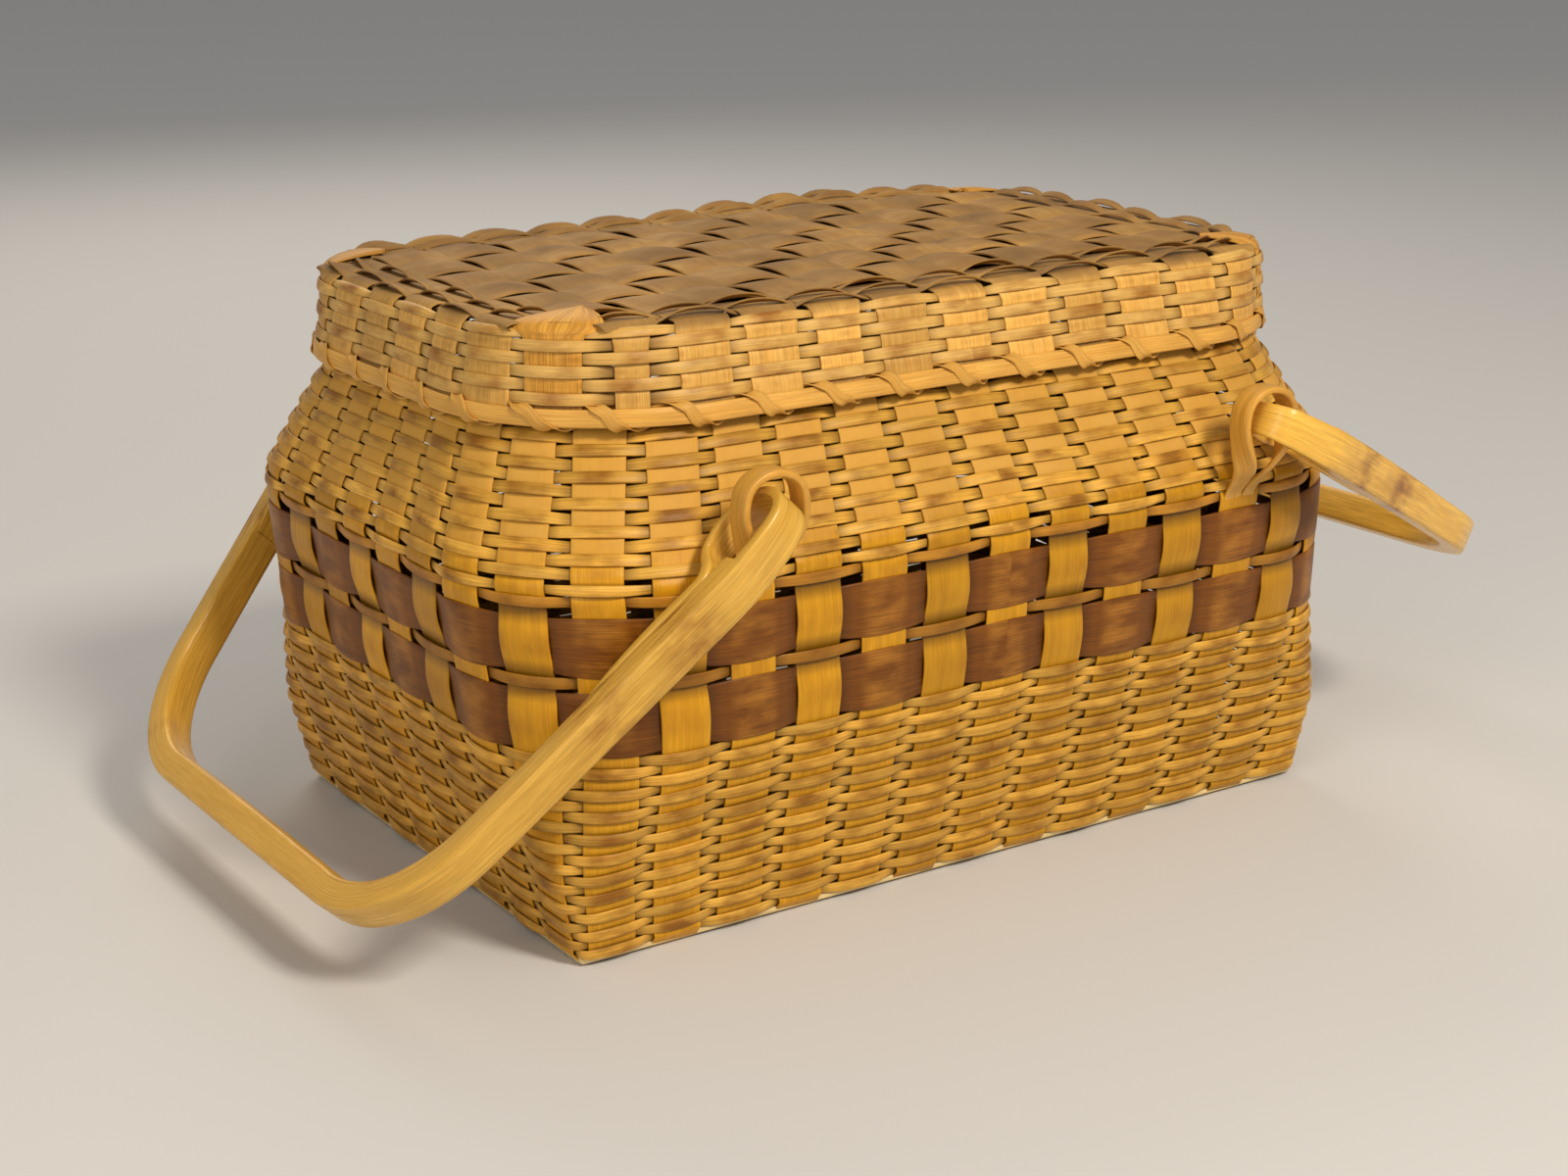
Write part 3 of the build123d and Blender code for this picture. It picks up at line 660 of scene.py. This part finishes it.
# Distance up the skirt and in over the top, half length, half width, radius and height
SKIRT_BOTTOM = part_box("lid_rim_outer")[0][2] / MM
LID_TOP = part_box("lid_top_weavers")[1][2] / MM
LID_LEVELS = np.array([
    [-6.0, 203.1, 132.2, 86.5, SKIRT_BOTTOM - 5.86],
    [0.0, 201.5, 130.0, 82.0, SKIRT_BOTTOM],
    [33.7, 194.0, 120.8, 57.0, SKIRT_BOTTOM + 32.9],
    [37.0, 192.6, 119.2, 55.0, LID_TOP - 2.6],
    [40.2, 189.6, 116.2, 52.0, LID_TOP - 0.8],
    [46.0, 183.8, 110.4, 46.2, LID_TOP - 0.4],
    [74.0, 155.8, 82.4, 18.2, LID_TOP - 0.4],
])
LID_PITCHES = 38
CORNERS = (6, 13, 25, 32)    # the splints at the corners, counted from the middle of the front
LID_PITCH = 30.35            # spacing of the splints that cross the top
LID_EDGE = 40.2              # distance up the skirt and over, where the flat top begins
LID_EASE = (-1.6, 0.0, 1.6)  # distances over which the edge is rounded
SKIRT_SLANT = 1.024          # distance up the skirt for each unit of height


def lid_profile(level):
    """Half length, half width, corner radius and height of the lid, with its edge eased."""
    eased = [
        [np.interp(level + step, LID_LEVELS[:, 0], LID_LEVELS[:, k]) for k in (1, 2, 3, 4)]
        for step in LID_EASE
    ]
    return np.mean(eased, axis=0)


def warp(points):
    """The top of the lid has dried a little out of flat, and the skirt follows it."""
    x, y, z = points[..., 0], points[..., 1], points[..., 2]
    share = np.clip((z - SKIRT_BOTTOM - 8.0) / (LID_TOP - SKIRT_BOTTOM - 8.0), 0, 1.2) ** 1.5
    rise = (
        1.1 * np.sin(x / 62 + 0.9) * np.cos(y / 71 - 0.5) + 0.9 * np.sin((x + 1.3 * y) / 47 + 2.2)
        + 1.6 * np.exp(-((x - 70) / 55) ** 2 - ((y - 105) / 45) ** 2)
        - 0.6 * np.cos(x / 190 * pi) * np.cos(y / 120 * pi)
    )
    return points + np.stack([0 * x, 0 * x, rise * share], axis=-1)


def lid_point(turns, level, lift):
    """A point of the lid's weave."""
    level = np.asarray(level, float)
    calm = np.clip(level / 14.0, 0.0, 1.0)
    uneven = slow_wave(turns, level, LID_PITCHES, 0.5, 21) * calm
    sway = slow_wave(turns, level * 0.3, LID_PITCHES, 0.5, 22) * calm
    return warp(shell(
        lid_profile, turns, level + sway, lift + uneven - MID_WEAVE_DEPTH, LID_PITCHES, None
    ))


def lid_turns(crossings, level):
    """Where a round of the top meets the straight splints; a corner splint is number 6."""
    half_length, half_width, radius, _ = lid_profile(np.float64(level))
    bend = pi * radius / 2
    front, side = half_length - radius, half_width - radius
    reach = np.arange(6) * LID_PITCH
    lengths = [np.where(reach <= front, reach, front + radius * np.arcsin(
        np.clip((reach - front) / radius, 0, 1)))]
    lengths.append([front + bend / 2])
    reach = np.array([2.5, 1.5, 0.5]) * LID_PITCH
    lengths.append(np.where(reach <= side, front + bend + side - reach, front + radius * np.arccos(
        np.clip((reach - side) / radius, -1, 1))))
    lengths.append([front + bend + side])
    knots = np.concatenate(lengths) / (front + bend + side) * 9.5
    quarter = LID_PITCHES / 4
    which = np.floor(crossings / quarter).astype(int)
    local = np.mod(crossings, quarter)
    mirrored = np.where(which % 2 == 1, quarter - local, local)
    moved = np.interp(mirrored, [0, 1, 2, 3, 4, 5, 6, 7, 8, 9, 9.5], knots)
    return which * quarter + np.where(which % 2 == 1, quarter - moved, moved)


SKIRT_ROWS = 6
low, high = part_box("lid_skirt_weavers")
skirt_pitch = (high[2] - low[2] + 0.0004) / MM / SKIRT_ROWS
skirt_levels = (low[2] / MM + (np.arange(SKIRT_ROWS) + 0.5) * skirt_pitch - SKIRT_BOTTOM)
skirt_levels = skirt_levels * SKIRT_SLANT
skirt_signs = [1 if row % 2 == 0 else -1 for row in range(SKIRT_ROWS)]
# Paler ash than the body's, less handled: straw, browned in patches
skirt_ash = ash_splint(
    "split ash weavers of the lid", "#e6be70", "#cd9c48", "#8f540e", "#5e380b", 0.9, 0.42, 0.7
)
skirt = Bundle()
for level, sign in zip(skirt_levels, skirt_signs):
    ring(skirt, lid_point, LID_PITCHES, level, 4.75, sign, 1.3, jitter=0.15, tilt=0.25, heave=0.2,
         narrowed=0.04)
finish(skirt.piece("lid_skirt_splints"), "lid", "weaver_splint", skirt_ash, "lid_skirt_weavers")

# The same ash under years of dust, which lies grey brown and matt on the top alone
lid_ash = ash_splint(
    "ash splints of the lid, dusty on top", "#e9bc66", "#d09840", "#94560f", "#573308", 0.5, 0.45,
    0.8, ("#7d5e37", 240.0, 245.5)
)
TOP_ROUNDS = 4
top_levels = LID_EDGE + 2.6 + 5.7 * np.arange(TOP_ROUNDS)
top_signs = [1 if k % 2 == 0 else -1 for k in range(TOP_ROUNDS)]
top = Bundle()
crossings = np.arange(LID_PITCHES * STEPS_PER_PITCH) / STEPS_PER_PITCH
# The folded corners press the rounds flat under them
press = np.prod([
    1 - 0.8 * np.exp(-((crossings - corner) / 0.75) ** 4) for corner in CORNERS
], axis=0)
for level, sign in zip(top_levels, top_signs):
    ring(top, lid_point, LID_PITCHES, level, 4.1, sign, 2.6, stand_off=0.5, jitter=0.15, tilt=1.0,
         heave=0.3, narrowed=0.04, turns=lid_turns(crossings, level), press=press)
finish(top.piece("lid_top_rounds"), "lid", "lid_top_splint", lid_ash, "lid_top_weavers")

# ---------------------------------------------------------------- lid splints
# Eleven splints run across the lid and six along it, woven over and under in the middle and
# bent down at the edge.  A short one at each corner is folded over the edge to a point.

SKIRT_TOP = 36.2
SKIRT_PITCH = 29.6           # spacing of the splints on the skirt
UNEVEN_ENDS = {33: 12.5, 31: 23.5, 30: 19.0, 34: 21.5}      # ends shaved wider or narrower
TOP_SWELL = 1.7              # how far the splints bend over and under on the top


def skirt_end(crossing):
    """The end of a splint on the skirt, from the rim up to the edge of the top."""
    knots = np.concatenate([[-2.0, 4.0], skirt_levels, [SKIRT_TOP + 2.5]])
    side = 1 if crossing % 2 == 0 else -1
    push = [0.0, 0.0] + [-0.32 * side * sign for sign in skirt_signs] + [0.2]
    over = [-0.4, -0.4] + [-0.8 * side * sign for sign in skirt_signs] + [0.3]
    levels = np.concatenate([np.linspace(0.4, 8.0, 4), np.arange(9.2, SKIRT_TOP, 1.2)])
    wide = UNEVEN_ENDS.get(crossing, 20.5 + 1.6 * sin(crossing * 2.4))
    half = np.interp(levels, [0, 30.0, SKIRT_TOP], [wide / 2, wide / 2 + 0.3, wide / 2 + 1.6])
    turns = crossing + WIDE_SECTION[None, :, 0] * half[:, None] / SKIRT_PITCH
    lifts = ease_between(levels, knots, push)[:, None] + WIDE_SECTION[None, :, 1] * 0.85
    return lid_point(turns, levels[:, None], lifts), ease_between(levels, knots, over)


def top_run(start, end, knots, pushes, half_middle):
    """The run of a splint over the top, from one edge to the other."""
    way = (end - start)[:2]
    reach = np.hypot(*way)
    way = way / reach
    sideways = np.array([way[1], -way[0]])
    steps = []
    for near, far in zip(knots[:-1], knots[1:]):
        count = 8 if far - near > 12 else 5
        steps += list(near + (far - near) * np.arange(count) / count)
    steps = np.array(steps + [knots[-1]])
    heave = ease_between(steps, knots, pushes)
    # It is trimmed narrower, and drops, where it nears the edge
    inset = np.minimum(steps, reach - steps)
    half = np.interp(inset, [0, 6, 22, 34], [0.84, 0.92, 0.98, 1.0]) * half_middle
    flat = start[None, :2] + way * steps[:, None]
    drop = 1.9 * (1 - np.sin(np.clip(inset / 4.5, 0, 1) * pi / 2))
    rows = np.zeros((len(steps), len(WIDE_SECTION), 3))
    rows[..., :2] = flat[:, None] + sideways * WIDE_SECTION[None, :, :1] * half[:, None, None]
    rows[..., 2] = LID_TOP - MID_WEAVE_DEPTH - 0.1 - drop[:, None] + heave[:, None]
    # Each splint is arched across its width where it lies on top, and cupped where it is under
    arch = (1 - WIDE_SECTION[:, 0] ** 2) * 0.6
    rows[..., 2] += WIDE_SECTION[None, :, 1] * 0.95 + arch * heave[:, None]
    return warp(rows), heave


# The section's corners in the order that they have when a splint is followed the other way
MIRRORED = [
    int(np.argmin(np.abs(WIDE_SECTION[:, 0] + width) + np.abs(WIDE_SECTION[:, 1] - depth)))
    for width, depth in WIDE_SECTION
]


def lid_splint(pieces, crossings, inner_knots, inner_over, half_middle):
    """One splint: up the skirt, over the top and down the other side."""
    ends = [skirt_end(crossing) for crossing in crossings]
    start, end = [
        shell(lid_profile, np.float64(crossing), SKIRT_TOP + 1.0, -MID_WEAVE_DEPTH,
              LID_PITCHES, None)
        for crossing in crossings
    ]
    reach = np.hypot(*(end - start)[:2])
    knots, pushes = [1.2], [0.2]
    for level, sign in zip(top_levels, top_signs):
        there = shell(lid_profile, lid_turns(np.float64(crossings[0]), level), level, 0.0,
                      LID_PITCHES, None)
        knots.append(np.hypot(*(there - start)[:2]))
        pushes.append(-0.3 * sign * (1 if crossings[0] % 2 == 0 else -1))
    far_knots, far_pushes = [reach - place for place in knots[::-1]], pushes[::-1]
    knots += [place + reach / 2 for place in inner_knots]
    pushes += [TOP_SWELL * over for over in inner_over]
    rows, heave = top_run(start, end, np.array(knots + far_knots), np.array(pushes + far_pushes),
                          half_middle)
    (first, first_over), (last, last_over) = ends
    rows = np.concatenate([first, rows, last[::-1][:, MIRRORED]])
    over = np.concatenate([first_over, heave * 0.9, last_over[::-1]])
    pieces.add(rows, WIDE_SECTION[:, 0] * half_middle, over)


CROSSING_PLACES = (np.arange(6) - 2.5) * LID_PITCH
cross_pieces, long_pieces = Bundle(), Bundle()
for i in range(-5, 6):
    over = [1 if (i + j) % 2 == 0 else -1 for j in range(6)]
    lid_splint(cross_pieces, (i % 38, 19 - i), CROSSING_PLACES, over, 14.3 + 0.5 * sin(i * 1.7))
for j in range(6):
    over = [-1 if (i + j) % 2 == 0 else 1 for i in range(-5, 6)]
    lid_splint(long_pieces, (31 - j, 7 + j), np.arange(-5, 6) * LID_PITCH, over,
               14.4 + 0.4 * sin(j * 2.1))
for way, pieces in (("cross", cross_pieces), ("long", long_pieces)):
    finish(pieces.piece(f"lid_{way}_run"), "lid", "lid_top_splint", lid_ash,
           f"lid_{way}_splints")
# Ash with its fibres lifted by the fold: gold, streaked and rough
corner_ash = ash_splint(
    "fibrous ash at the corners", "#e0ab4a", "#ba7c20", "#8f5209", "#5d360a", 0.7, 0.5, 1.2
)
corner_pieces = Bundle()
# The flap: distance up and over, its half width, its lift, and the spacing of a pitch there
FLAP = np.array([36.6, 37.6, 39.0, 41.0, 44.0, 48.0, 52.0, 56.0, 60.0, 62.5])
flap_half = np.interp(FLAP, [36.6, 38.5, 62.5], [17.5, 19.5, 0.8])
flap_lift = np.interp(FLAP, [36.6, 39.0, 44.0, 54.0, 62.5], [0.7, 1.3, 2.4, 3.6, 3.7])
flap_pitch = np.interp(FLAP, [36.6, 62.5], [29.6, 16.0])
for crossing in CORNERS:
    first, over = skirt_end(crossing)
    corner = lid_turns(np.full(len(FLAP), float(crossing)), FLAP[5])
    turns = corner[:, None] + WIDE_SECTION[None, :, 0] * (flap_half / flap_pitch)[:, None]
    lifts = flap_lift[:, None] + WIDE_SECTION[None, :, 1] * 0.9
    lifts = lifts - 0.9 * WIDE_SECTION[None, :, 0] ** 2
    rows = np.concatenate([first, lid_point(turns, FLAP[:, None], lifts)])
    corner_pieces.add(rows, WIDE_SECTION[:, 0] * 11, np.concatenate([over, 0.5 + 0 * FLAP]))
finish(corner_pieces.piece("lid_corner_points"), "lid", "lid_top_splint", corner_ash,
       "lid_corner_splints")

# ---------------------------------------------------------------- lid rim
# The same two hoops and lashing as on the neck, but the lashing splint is wider and its
# slanted turns show on the outside.

def lid_height_point(turns, height, lift):
    """A point of the skirt, given its height instead of its distance up the slant."""
    return lid_point(turns, (height - SKIRT_BOTTOM) * SKIRT_SLANT, lift)


for place, lift, thickness in (("outer", 1.5, 1.4), ("inner", -1.3, 1.2)):
    finish(hoop(lid_height_point, LID_PITCHES, "lid_rim_" + place, lift, thickness)
           .piece("lid_hoop_" + place), "lid", "rim_splint", rim_ash, "lid_rim_" + place)
low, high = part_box("lid_lashing")
finish(lashing(lid_point, LID_PITCHES, low[2] / MM - SKIRT_BOTTOM + 0.3,
               high[2] / MM - SKIRT_BOTTOM + 0.1, -2.4, 2.75, 5.0, 0.6)
       .piece("lid_lashing_splint"),
       "lid", "rim_splint", rim_ash, "lid_lashing")

# ---------------------------------------------------------------- ears
# Each ear is an ash splint bent into a loop that faces outward.  Its two legs are twisted
# flat and tucked side by side behind the upper brown weaver.

PIVOT_HEIGHT = 183.0
LOOP_WIDTH = 5.5             # half the width of the splint
# Height up each leg, and how far the leg stands off the middle of the wall's weave
EAR_LEG = ((119.5, 0.0), (130.0, 0.05), (141.0, 0.1), (149.0, 1.2))
# The standard behind each ear, by end (left is -1) and side (front is -1)
EAR_HOMES = {(-1, -1): 40.0, (1, -1): 4.0, (1, 1): 18.0, (-1, 1): 26.0}
ANGLES = 2 * pi * np.arange(16) / 16 + pi / 16
OVAL = np.stack([
    np.sign(np.cos(ANGLES)) * np.abs(np.cos(ANGLES)) ** 0.45,
    np.sign(np.sin(ANGLES)) * np.abs(np.sin(ANGLES)) ** 0.45,
], axis=1)


def smooth_through(controls, count):
    """Points on a smooth line through rows of control values."""
    controls = np.asarray(controls, float)
    padded = np.vstack([2 * controls[0] - controls[1], controls, 2 * controls[-1] - controls[-2]])
    at = np.linspace(0, len(controls) - 1, count)
    k = np.clip(at.astype(int), 0, len(controls) - 2)
    t = (at - k)[:, None]
    a, b, c, d = padded[k], padded[k + 1], padded[k + 2], padded[k + 3]
    return 0.5 * (2 * b + (c - a) * t + (2 * a - 5 * b + 4 * c - d) * t ** 2
                  + (3 * b - a - 3 * c + d) * t ** 3)


def ear_leg(home, side_y, across, turn, half):
    """Controls for one leg, which lies just in front of its standard."""
    spots = [body_point(home + side_y * across / 31.0, np.float64(height), lift)
             for height, lift in EAR_LEG]
    return [[across, abs(spot[1]), height, turn, 0, half, 0.65]
            for spot, (height, _) in zip(spots, EAR_LEG)]


# Thick ash splint, bent hot and polished by the swinging handle: smooth, amber, half shiny
ear_ash = ash_splint(
    "bent ash loops, worn smooth", "#dba84a", "#c28b2e", "#8f590f", "#7b4f10", 0.7, 0.34, 0.8,
    gloss=0.5,
)
for side_x in (-1, 1):
    for side_y in (-1, 1):
        name = f"ear_{'front' if side_y < 0 else 'back'}_{'left' if side_x < 0 else 'right'}"
        low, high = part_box(name)
        middle_x = (low[0] + high[0]) / 2 / MM
        loop_y = max(abs(low[1]), abs(high[1])) / MM - LOOP_WIDTH
        home = EAR_HOMES[side_x, side_y]
        first_leg = ear_leg(home, side_y, -3.9, 1, 4.6)
        last_leg = ear_leg(home, side_y, 4.9, -1, 3.3)
        wall = first_leg[-1][1]
        # Columns: place, direction of the splint's width, half width, half thickness
        controls = first_leg + [
            [-5.2, wall + 5.4, 156.0, 0.95, 0.2, 4.4, 1.0],
            [-8.0, loop_y - 1.6, 163.0, 0.8, 0.6, 4.8, 1.35],
            [-11.4, loop_y, 172.0, 0.25, 0.97, 5.3, 1.65],
        ] + [
            [across, loop_y, height, 0, 1.0, LOOP_WIDTH, 1.7] for across, height in (
                (-13.2, 181.0), (-11.9, 189.6), (-7.2, 194.6), (0.0, 196.5),
                (7.2, 194.6), (11.9, 189.6), (13.2, 181.0))
        ] + [
            [11.4, loop_y, 172.0, -0.25, 0.97, 5.3, 1.65],
            [8.2, loop_y - 1.8, 163.0, -0.8, 0.6, 4.6, 1.35],
            [5.4, wall + 5.0, 155.6, -0.95, 0.2, 3.8, 1.0],
        ] + last_leg[::-1]
        line = smooth_through(controls, 110)
        path = np.stack([line[:, 0] * side_x + middle_x, line[:, 1] * side_y, line[:, 2]], axis=1)
        width_way = np.stack([line[:, 3] * side_x, line[:, 4] * side_y, 0 * line[:, 0]], axis=1)
        tangent = unit(np.gradient(path, axis=0))
        width_way = square_to(tangent, width_way)
        rows = swept(path, width_way, np.cross(tangent, width_way), OVAL,
                     line[:, 5, None, None], line[:, 6, None, None])
        loop = Bundle()
        loop.add(rows, OVAL[:, 0] * LOOP_WIDTH, 0.3 + 0 * line[:, 0])
        finish(loop.piece(name + "_loop"), "basket", "ear_wood", ear_ash, name)

# ---------------------------------------------------------------- bails
# Two swing handles of split ash, carved by hand and polished by use.  Each end is thinned to
# a strip, bent through its ear, and laid back along the inside of the arm.

# Ash worn smooth by hands: bright honey, half shiny, with brown patches where it rubs
bail_ash = ash_splint(
    "carved ash handles, hand polished", "#ebbe56", "#cf9a32", "#8a4e06", "#7a4a10", 0.95, 0.24,
    0.8, gloss=0.5,
)
BAIL_REACH = 215.0           # from the pivot to the outside of the grip
BAIL_CORNER = 71.0           # radius of the outside of each corner
ARM_Y = 184.5                # outside of each arm at its ear
LEAN_START, LEAN = 33.0, 0.2926            # where the arms start to lean in, and how steeply
DROPS = {-1: 46.0, 1: 27.0}  # degrees that each bail hangs below level
RUBBED = ((177.0, 56.0), (165.0, 98.0), (112.0, 196.0))     # dark patches: outward, along
# Outer face of one end: distance from the middle, distance from the pivot, thickness, half width
BAIL_END = [
    [151.9, 102.0, 0.6, 6.2], [153.4, 92.0, 2.2, 7.6], [156.4, 78.0, 3.8, 8.5],
    [160.3, 62.0, 4.6, 8.8], [163.6, 50.0, 4.9, 8.8], [165.6, 42.5, 5.0, 8.8],
    [165.9, 38.0, 4.9, 8.7], [164.0, 34.0, 4.5, 8.4], [158.8, 30.4, 3.7, 7.1],
    [154.4, 26.0, 3.1, 6.1], [153.6, 20.5, 3.1, 6.6], [153.8, 14.0, 3.2, 7.2],
    [154.9, 6.5, 3.4, 7.0], [158.2, 0.0, 3.8, 6.9], [164.0, -4.2, 4.1, 6.9],
    [171.0, -5.6, 4.3, 7.0], [177.4, -3.8, 4.5, 7.3], [181.8, 0.8, 4.7, 7.7],
    [183.9, 8.0, 4.9, 8.0], [184.5, 16.0, 5.0, 8.3], [184.5, 22.0, 5.2, 8.5],
    [184.4, 24.6, 5.4, 8.6], [184.3, 26.3, 5.8, 8.6], [184.2, 27.8, 11.2, 8.6],
    [183.8, 32.5, 11.8, 8.6], [181.5, 42.5, 11.8, 8.6], [176.6, 60.0, 11.6, 8.6],
    [169.3, 85.0, 11.4, 8.5], [162.0, 110.0, 11.2, 8.4], [154.7, 135.0, 11.2, 8.3],
]


def corner_arc():
    """The outside of a corner, from the leaning arm to the grip."""
    reach = 1 / (1 + LEAN ** 2) ** 0.5
    arm_way = np.array([-LEAN * reach, reach])
    corner = np.array([ARM_Y - LEAN * (BAIL_REACH - LEAN_START), BAIL_REACH])
    to_arm, to_grip = -arm_way, np.array([-1.0, 0.0])
    between = np.arccos(to_arm @ to_grip)
    bisector = (to_arm + to_grip) / np.linalg.norm(to_arm + to_grip)
    centre = corner + bisector * BAIL_CORNER / np.sin(between / 2)
    start = np.arctan2(LEAN, 1.0)
    angles = np.linspace(start, pi / 2, 30)
    return centre + BAIL_CORNER * np.stack([np.cos(angles), np.sin(angles)], axis=1)


CARVED = np.sign(OVAL) * np.abs(OVAL) ** 0.5        # squarer than the ears
corner_points = corner_arc()
half_line = smooth_through(BAIL_END + [[*corner_points[0], 11.4, 8.2]], 230)[:-1]
share = np.linspace(0, 1, len(corner_points))
corner_line = np.column_stack([corner_points, 11.4 + 1.9 * share, 8.2 - 0.3 * share])
grip_y = np.linspace(corner_points[-1][0], -corner_points[-1][0], 40)[1:-1]
grip_line = np.column_stack([
    grip_y, BAIL_REACH + 0 * grip_y, 13.6 + 0.3 * np.cos(grip_y / 40), 7.9 + 0 * grip_y
])
half_line = np.vstack([half_line, corner_line])
far_line = half_line[::-1] * np.array([-1, 1, 1, 1])
bail_line = np.vstack([half_line, grip_line, far_line])
plane = bail_line[:, :2]
tangent = unit(np.gradient(plane, axis=0))
inward = np.stack([-tangent[:, 1], tangent[:, 0]], axis=1)
rubbed = sum(
    np.exp(-((np.abs(plane[:, 0]) - y) / 5.0) ** 2 - ((plane[:, 1] - along) / 11.0) ** 2)
    for y, along in RUBBED
)
# Distance round the section, which sets the grain's place on each face
section_steps = np.hypot(*np.diff(OVAL * [8.0, 4.5], axis=0).T)
around_section = np.concatenate([[0], np.cumsum(section_steps)])

for side_x, drop in DROPS.items():
    name = "bail_left" if side_x < 0 else "bail_right"
    low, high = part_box("ear_front_left" if side_x < 0 else "ear_front_right")
    pivot = np.array([(low[0] + high[0]) / 2 / MM, 0, PIVOT_HEIGHT])
    outward = np.array([side_x * cos(radians(drop)), 0, -sin(radians(drop))])
    above = np.array([side_x * sin(radians(drop)), 0, cos(radians(drop))])
    # The knife has left the section a little uneven along its length
    carve = np.random.default_rng(31 + side_x)
    count = len(bail_line)
    waver = np.zeros(count)
    for wave in (3, 5, 8, 13):
        waver += 0.16 * np.sin(np.linspace(0, 2 * pi * wave, count) + carve.uniform(0, 6))
    thick = bail_line[:, 2] * (1 + 0.02 * waver)
    half = bail_line[:, 3] * (1 + 0.05 * waver)
    depth = (1 - CARVED[None, :, 1]) / 2 * thick[:, None]
    flat = plane[:, None] + inward[:, None] * depth[..., None]
    rise = CARVED[None, :, 0] * half[:, None] + 0.5 * waver[:, None]
    rows = (pivot + flat[..., 1:] * outward - flat[..., :1] * np.array([0, 1, 0])
            + rise[..., None] * above)
    handle = Bundle()
    handle.add(rows, around_section, 0.42 + 0.3 * waver + 0.5 * rubbed)
    finish(handle.piece(name + "_handle"), name, "bail_wood", bail_ash, name)

# ---------------------------------------------------------------- foot splint
# A pale straight splint laid flat round the bottom edge, inside the turns of the standards.
# It shows as a thin light line where the lowest row stands off it.

# Fresh sapwood that nothing has touched: cream, matt, faint grain
pale_ash = ash_splint(
    "fresh pale ash", "#ecd9a2", "#dcc084", "#b98f45", "#8a6a2c", 0.3, 0.5, 0.6
)
FOOT_LEVEL, FOOT_HALF, FOOT_DEPTH = 1.5, 1.1, -0.95
turns = np.arange(BODY_PITCHES * 6) / 6
levels = FOOT_LEVEL + SPLINT_SECTION[None, :, 0] * FOOT_HALF + 0 * turns[:, None]
foot = Bundle()
foot.add(body_point(turns[:, None], levels, FOOT_DEPTH + SPLINT_SECTION[None, :, 1] * 0.9),
         SPLINT_SECTION[:, 0] * FOOT_HALF, 0.4 + 0 * turns, closed=True)
finish(foot.piece("foot_splint"), "basket", "weaver_splint", pale_ash)

# ---------------------------------------------------------------- stage, light and camera
# A pale, matt floor under even light from the sky, a warm key lamp in front, a wide fill from
# the left and a back light; the camera stands to the front left, a little above the lid.

floor_material = bpy.data.materials.new("pale painted floor, matt")
floor_material.use_nodes = True
floor_surface = floor_material.node_tree.nodes["Principled BSDF"]
floor_surface.inputs["Base Color"].default_value = linear("#d3d5d9")
floor_surface.inputs["Roughness"].default_value = 0.8
bpy.ops.mesh.primitive_plane_add(size=12, location=(0, 0, -0.0005))
floor = bpy.context.object
floor.name = "floor"
floor.data.materials.append(floor_material)

bpy.context.scene.view_settings.view_transform = "Standard"
world = bpy.data.worlds.new("studio")
bpy.context.scene.world = world
world.use_nodes = True
sky = world.node_tree.nodes["Background"]
sky.inputs["Color"].default_value = linear("#ece8e2")
sky.inputs["Strength"].default_value = 0.36

LAMPS_AIM = np.array([0, 0, 0.12])
for name, location, size, power in (
    ("key", (0.15, -1.75, 1.65), 0.45, 40), ("fill", (-1.9, -1.0, 1.1), 1.2, 15),
    ("back", (0.5, 1.8, 1.5), 1.2, 14),
):
    lamp = bpy.data.lights.new(name, "AREA")
    lamp.size = size
    lamp.energy = power
    lamp.color = linear("#fff0da")[:3]
    made = bpy.data.objects.new(name, lamp)
    bpy.context.scene.collection.objects.link(made)
    made.location = location
    way = LAMPS_AIM - np.array(location)
    made.rotation_euler = (
        float(np.arctan2(np.hypot(way[0], way[1]), -way[2])), 0,
        float(np.arctan2(-way[0], way[1])),
    )

CAMERA_PLACE = (-0.6194, -0.9339, 0.4238)
YAW, PITCH, ROLL = radians(33.18), radians(16.58), radians(-0.53)
camera_data = bpy.data.cameras.new("camera")
camera_data.lens = 58.9
camera_data.sensor_width = 36
camera = bpy.data.objects.new("camera", camera_data)
bpy.context.scene.collection.objects.link(camera)
forward = np.array([sin(YAW) * cos(PITCH), cos(YAW) * cos(PITCH), -sin(PITCH)])
right = np.array([cos(YAW), -sin(YAW), 0.0])
up = np.cross(right, forward)
axes = np.eye(4)
axes[:3, 0] = right * cos(ROLL) + up * sin(ROLL)
axes[:3, 1] = up * cos(ROLL) - right * sin(ROLL)
axes[:3, 2] = -forward
axes[:3, 3] = CAMERA_PLACE
camera.matrix_world = axes.T.tolist()
bpy.context.scene.camera = camera
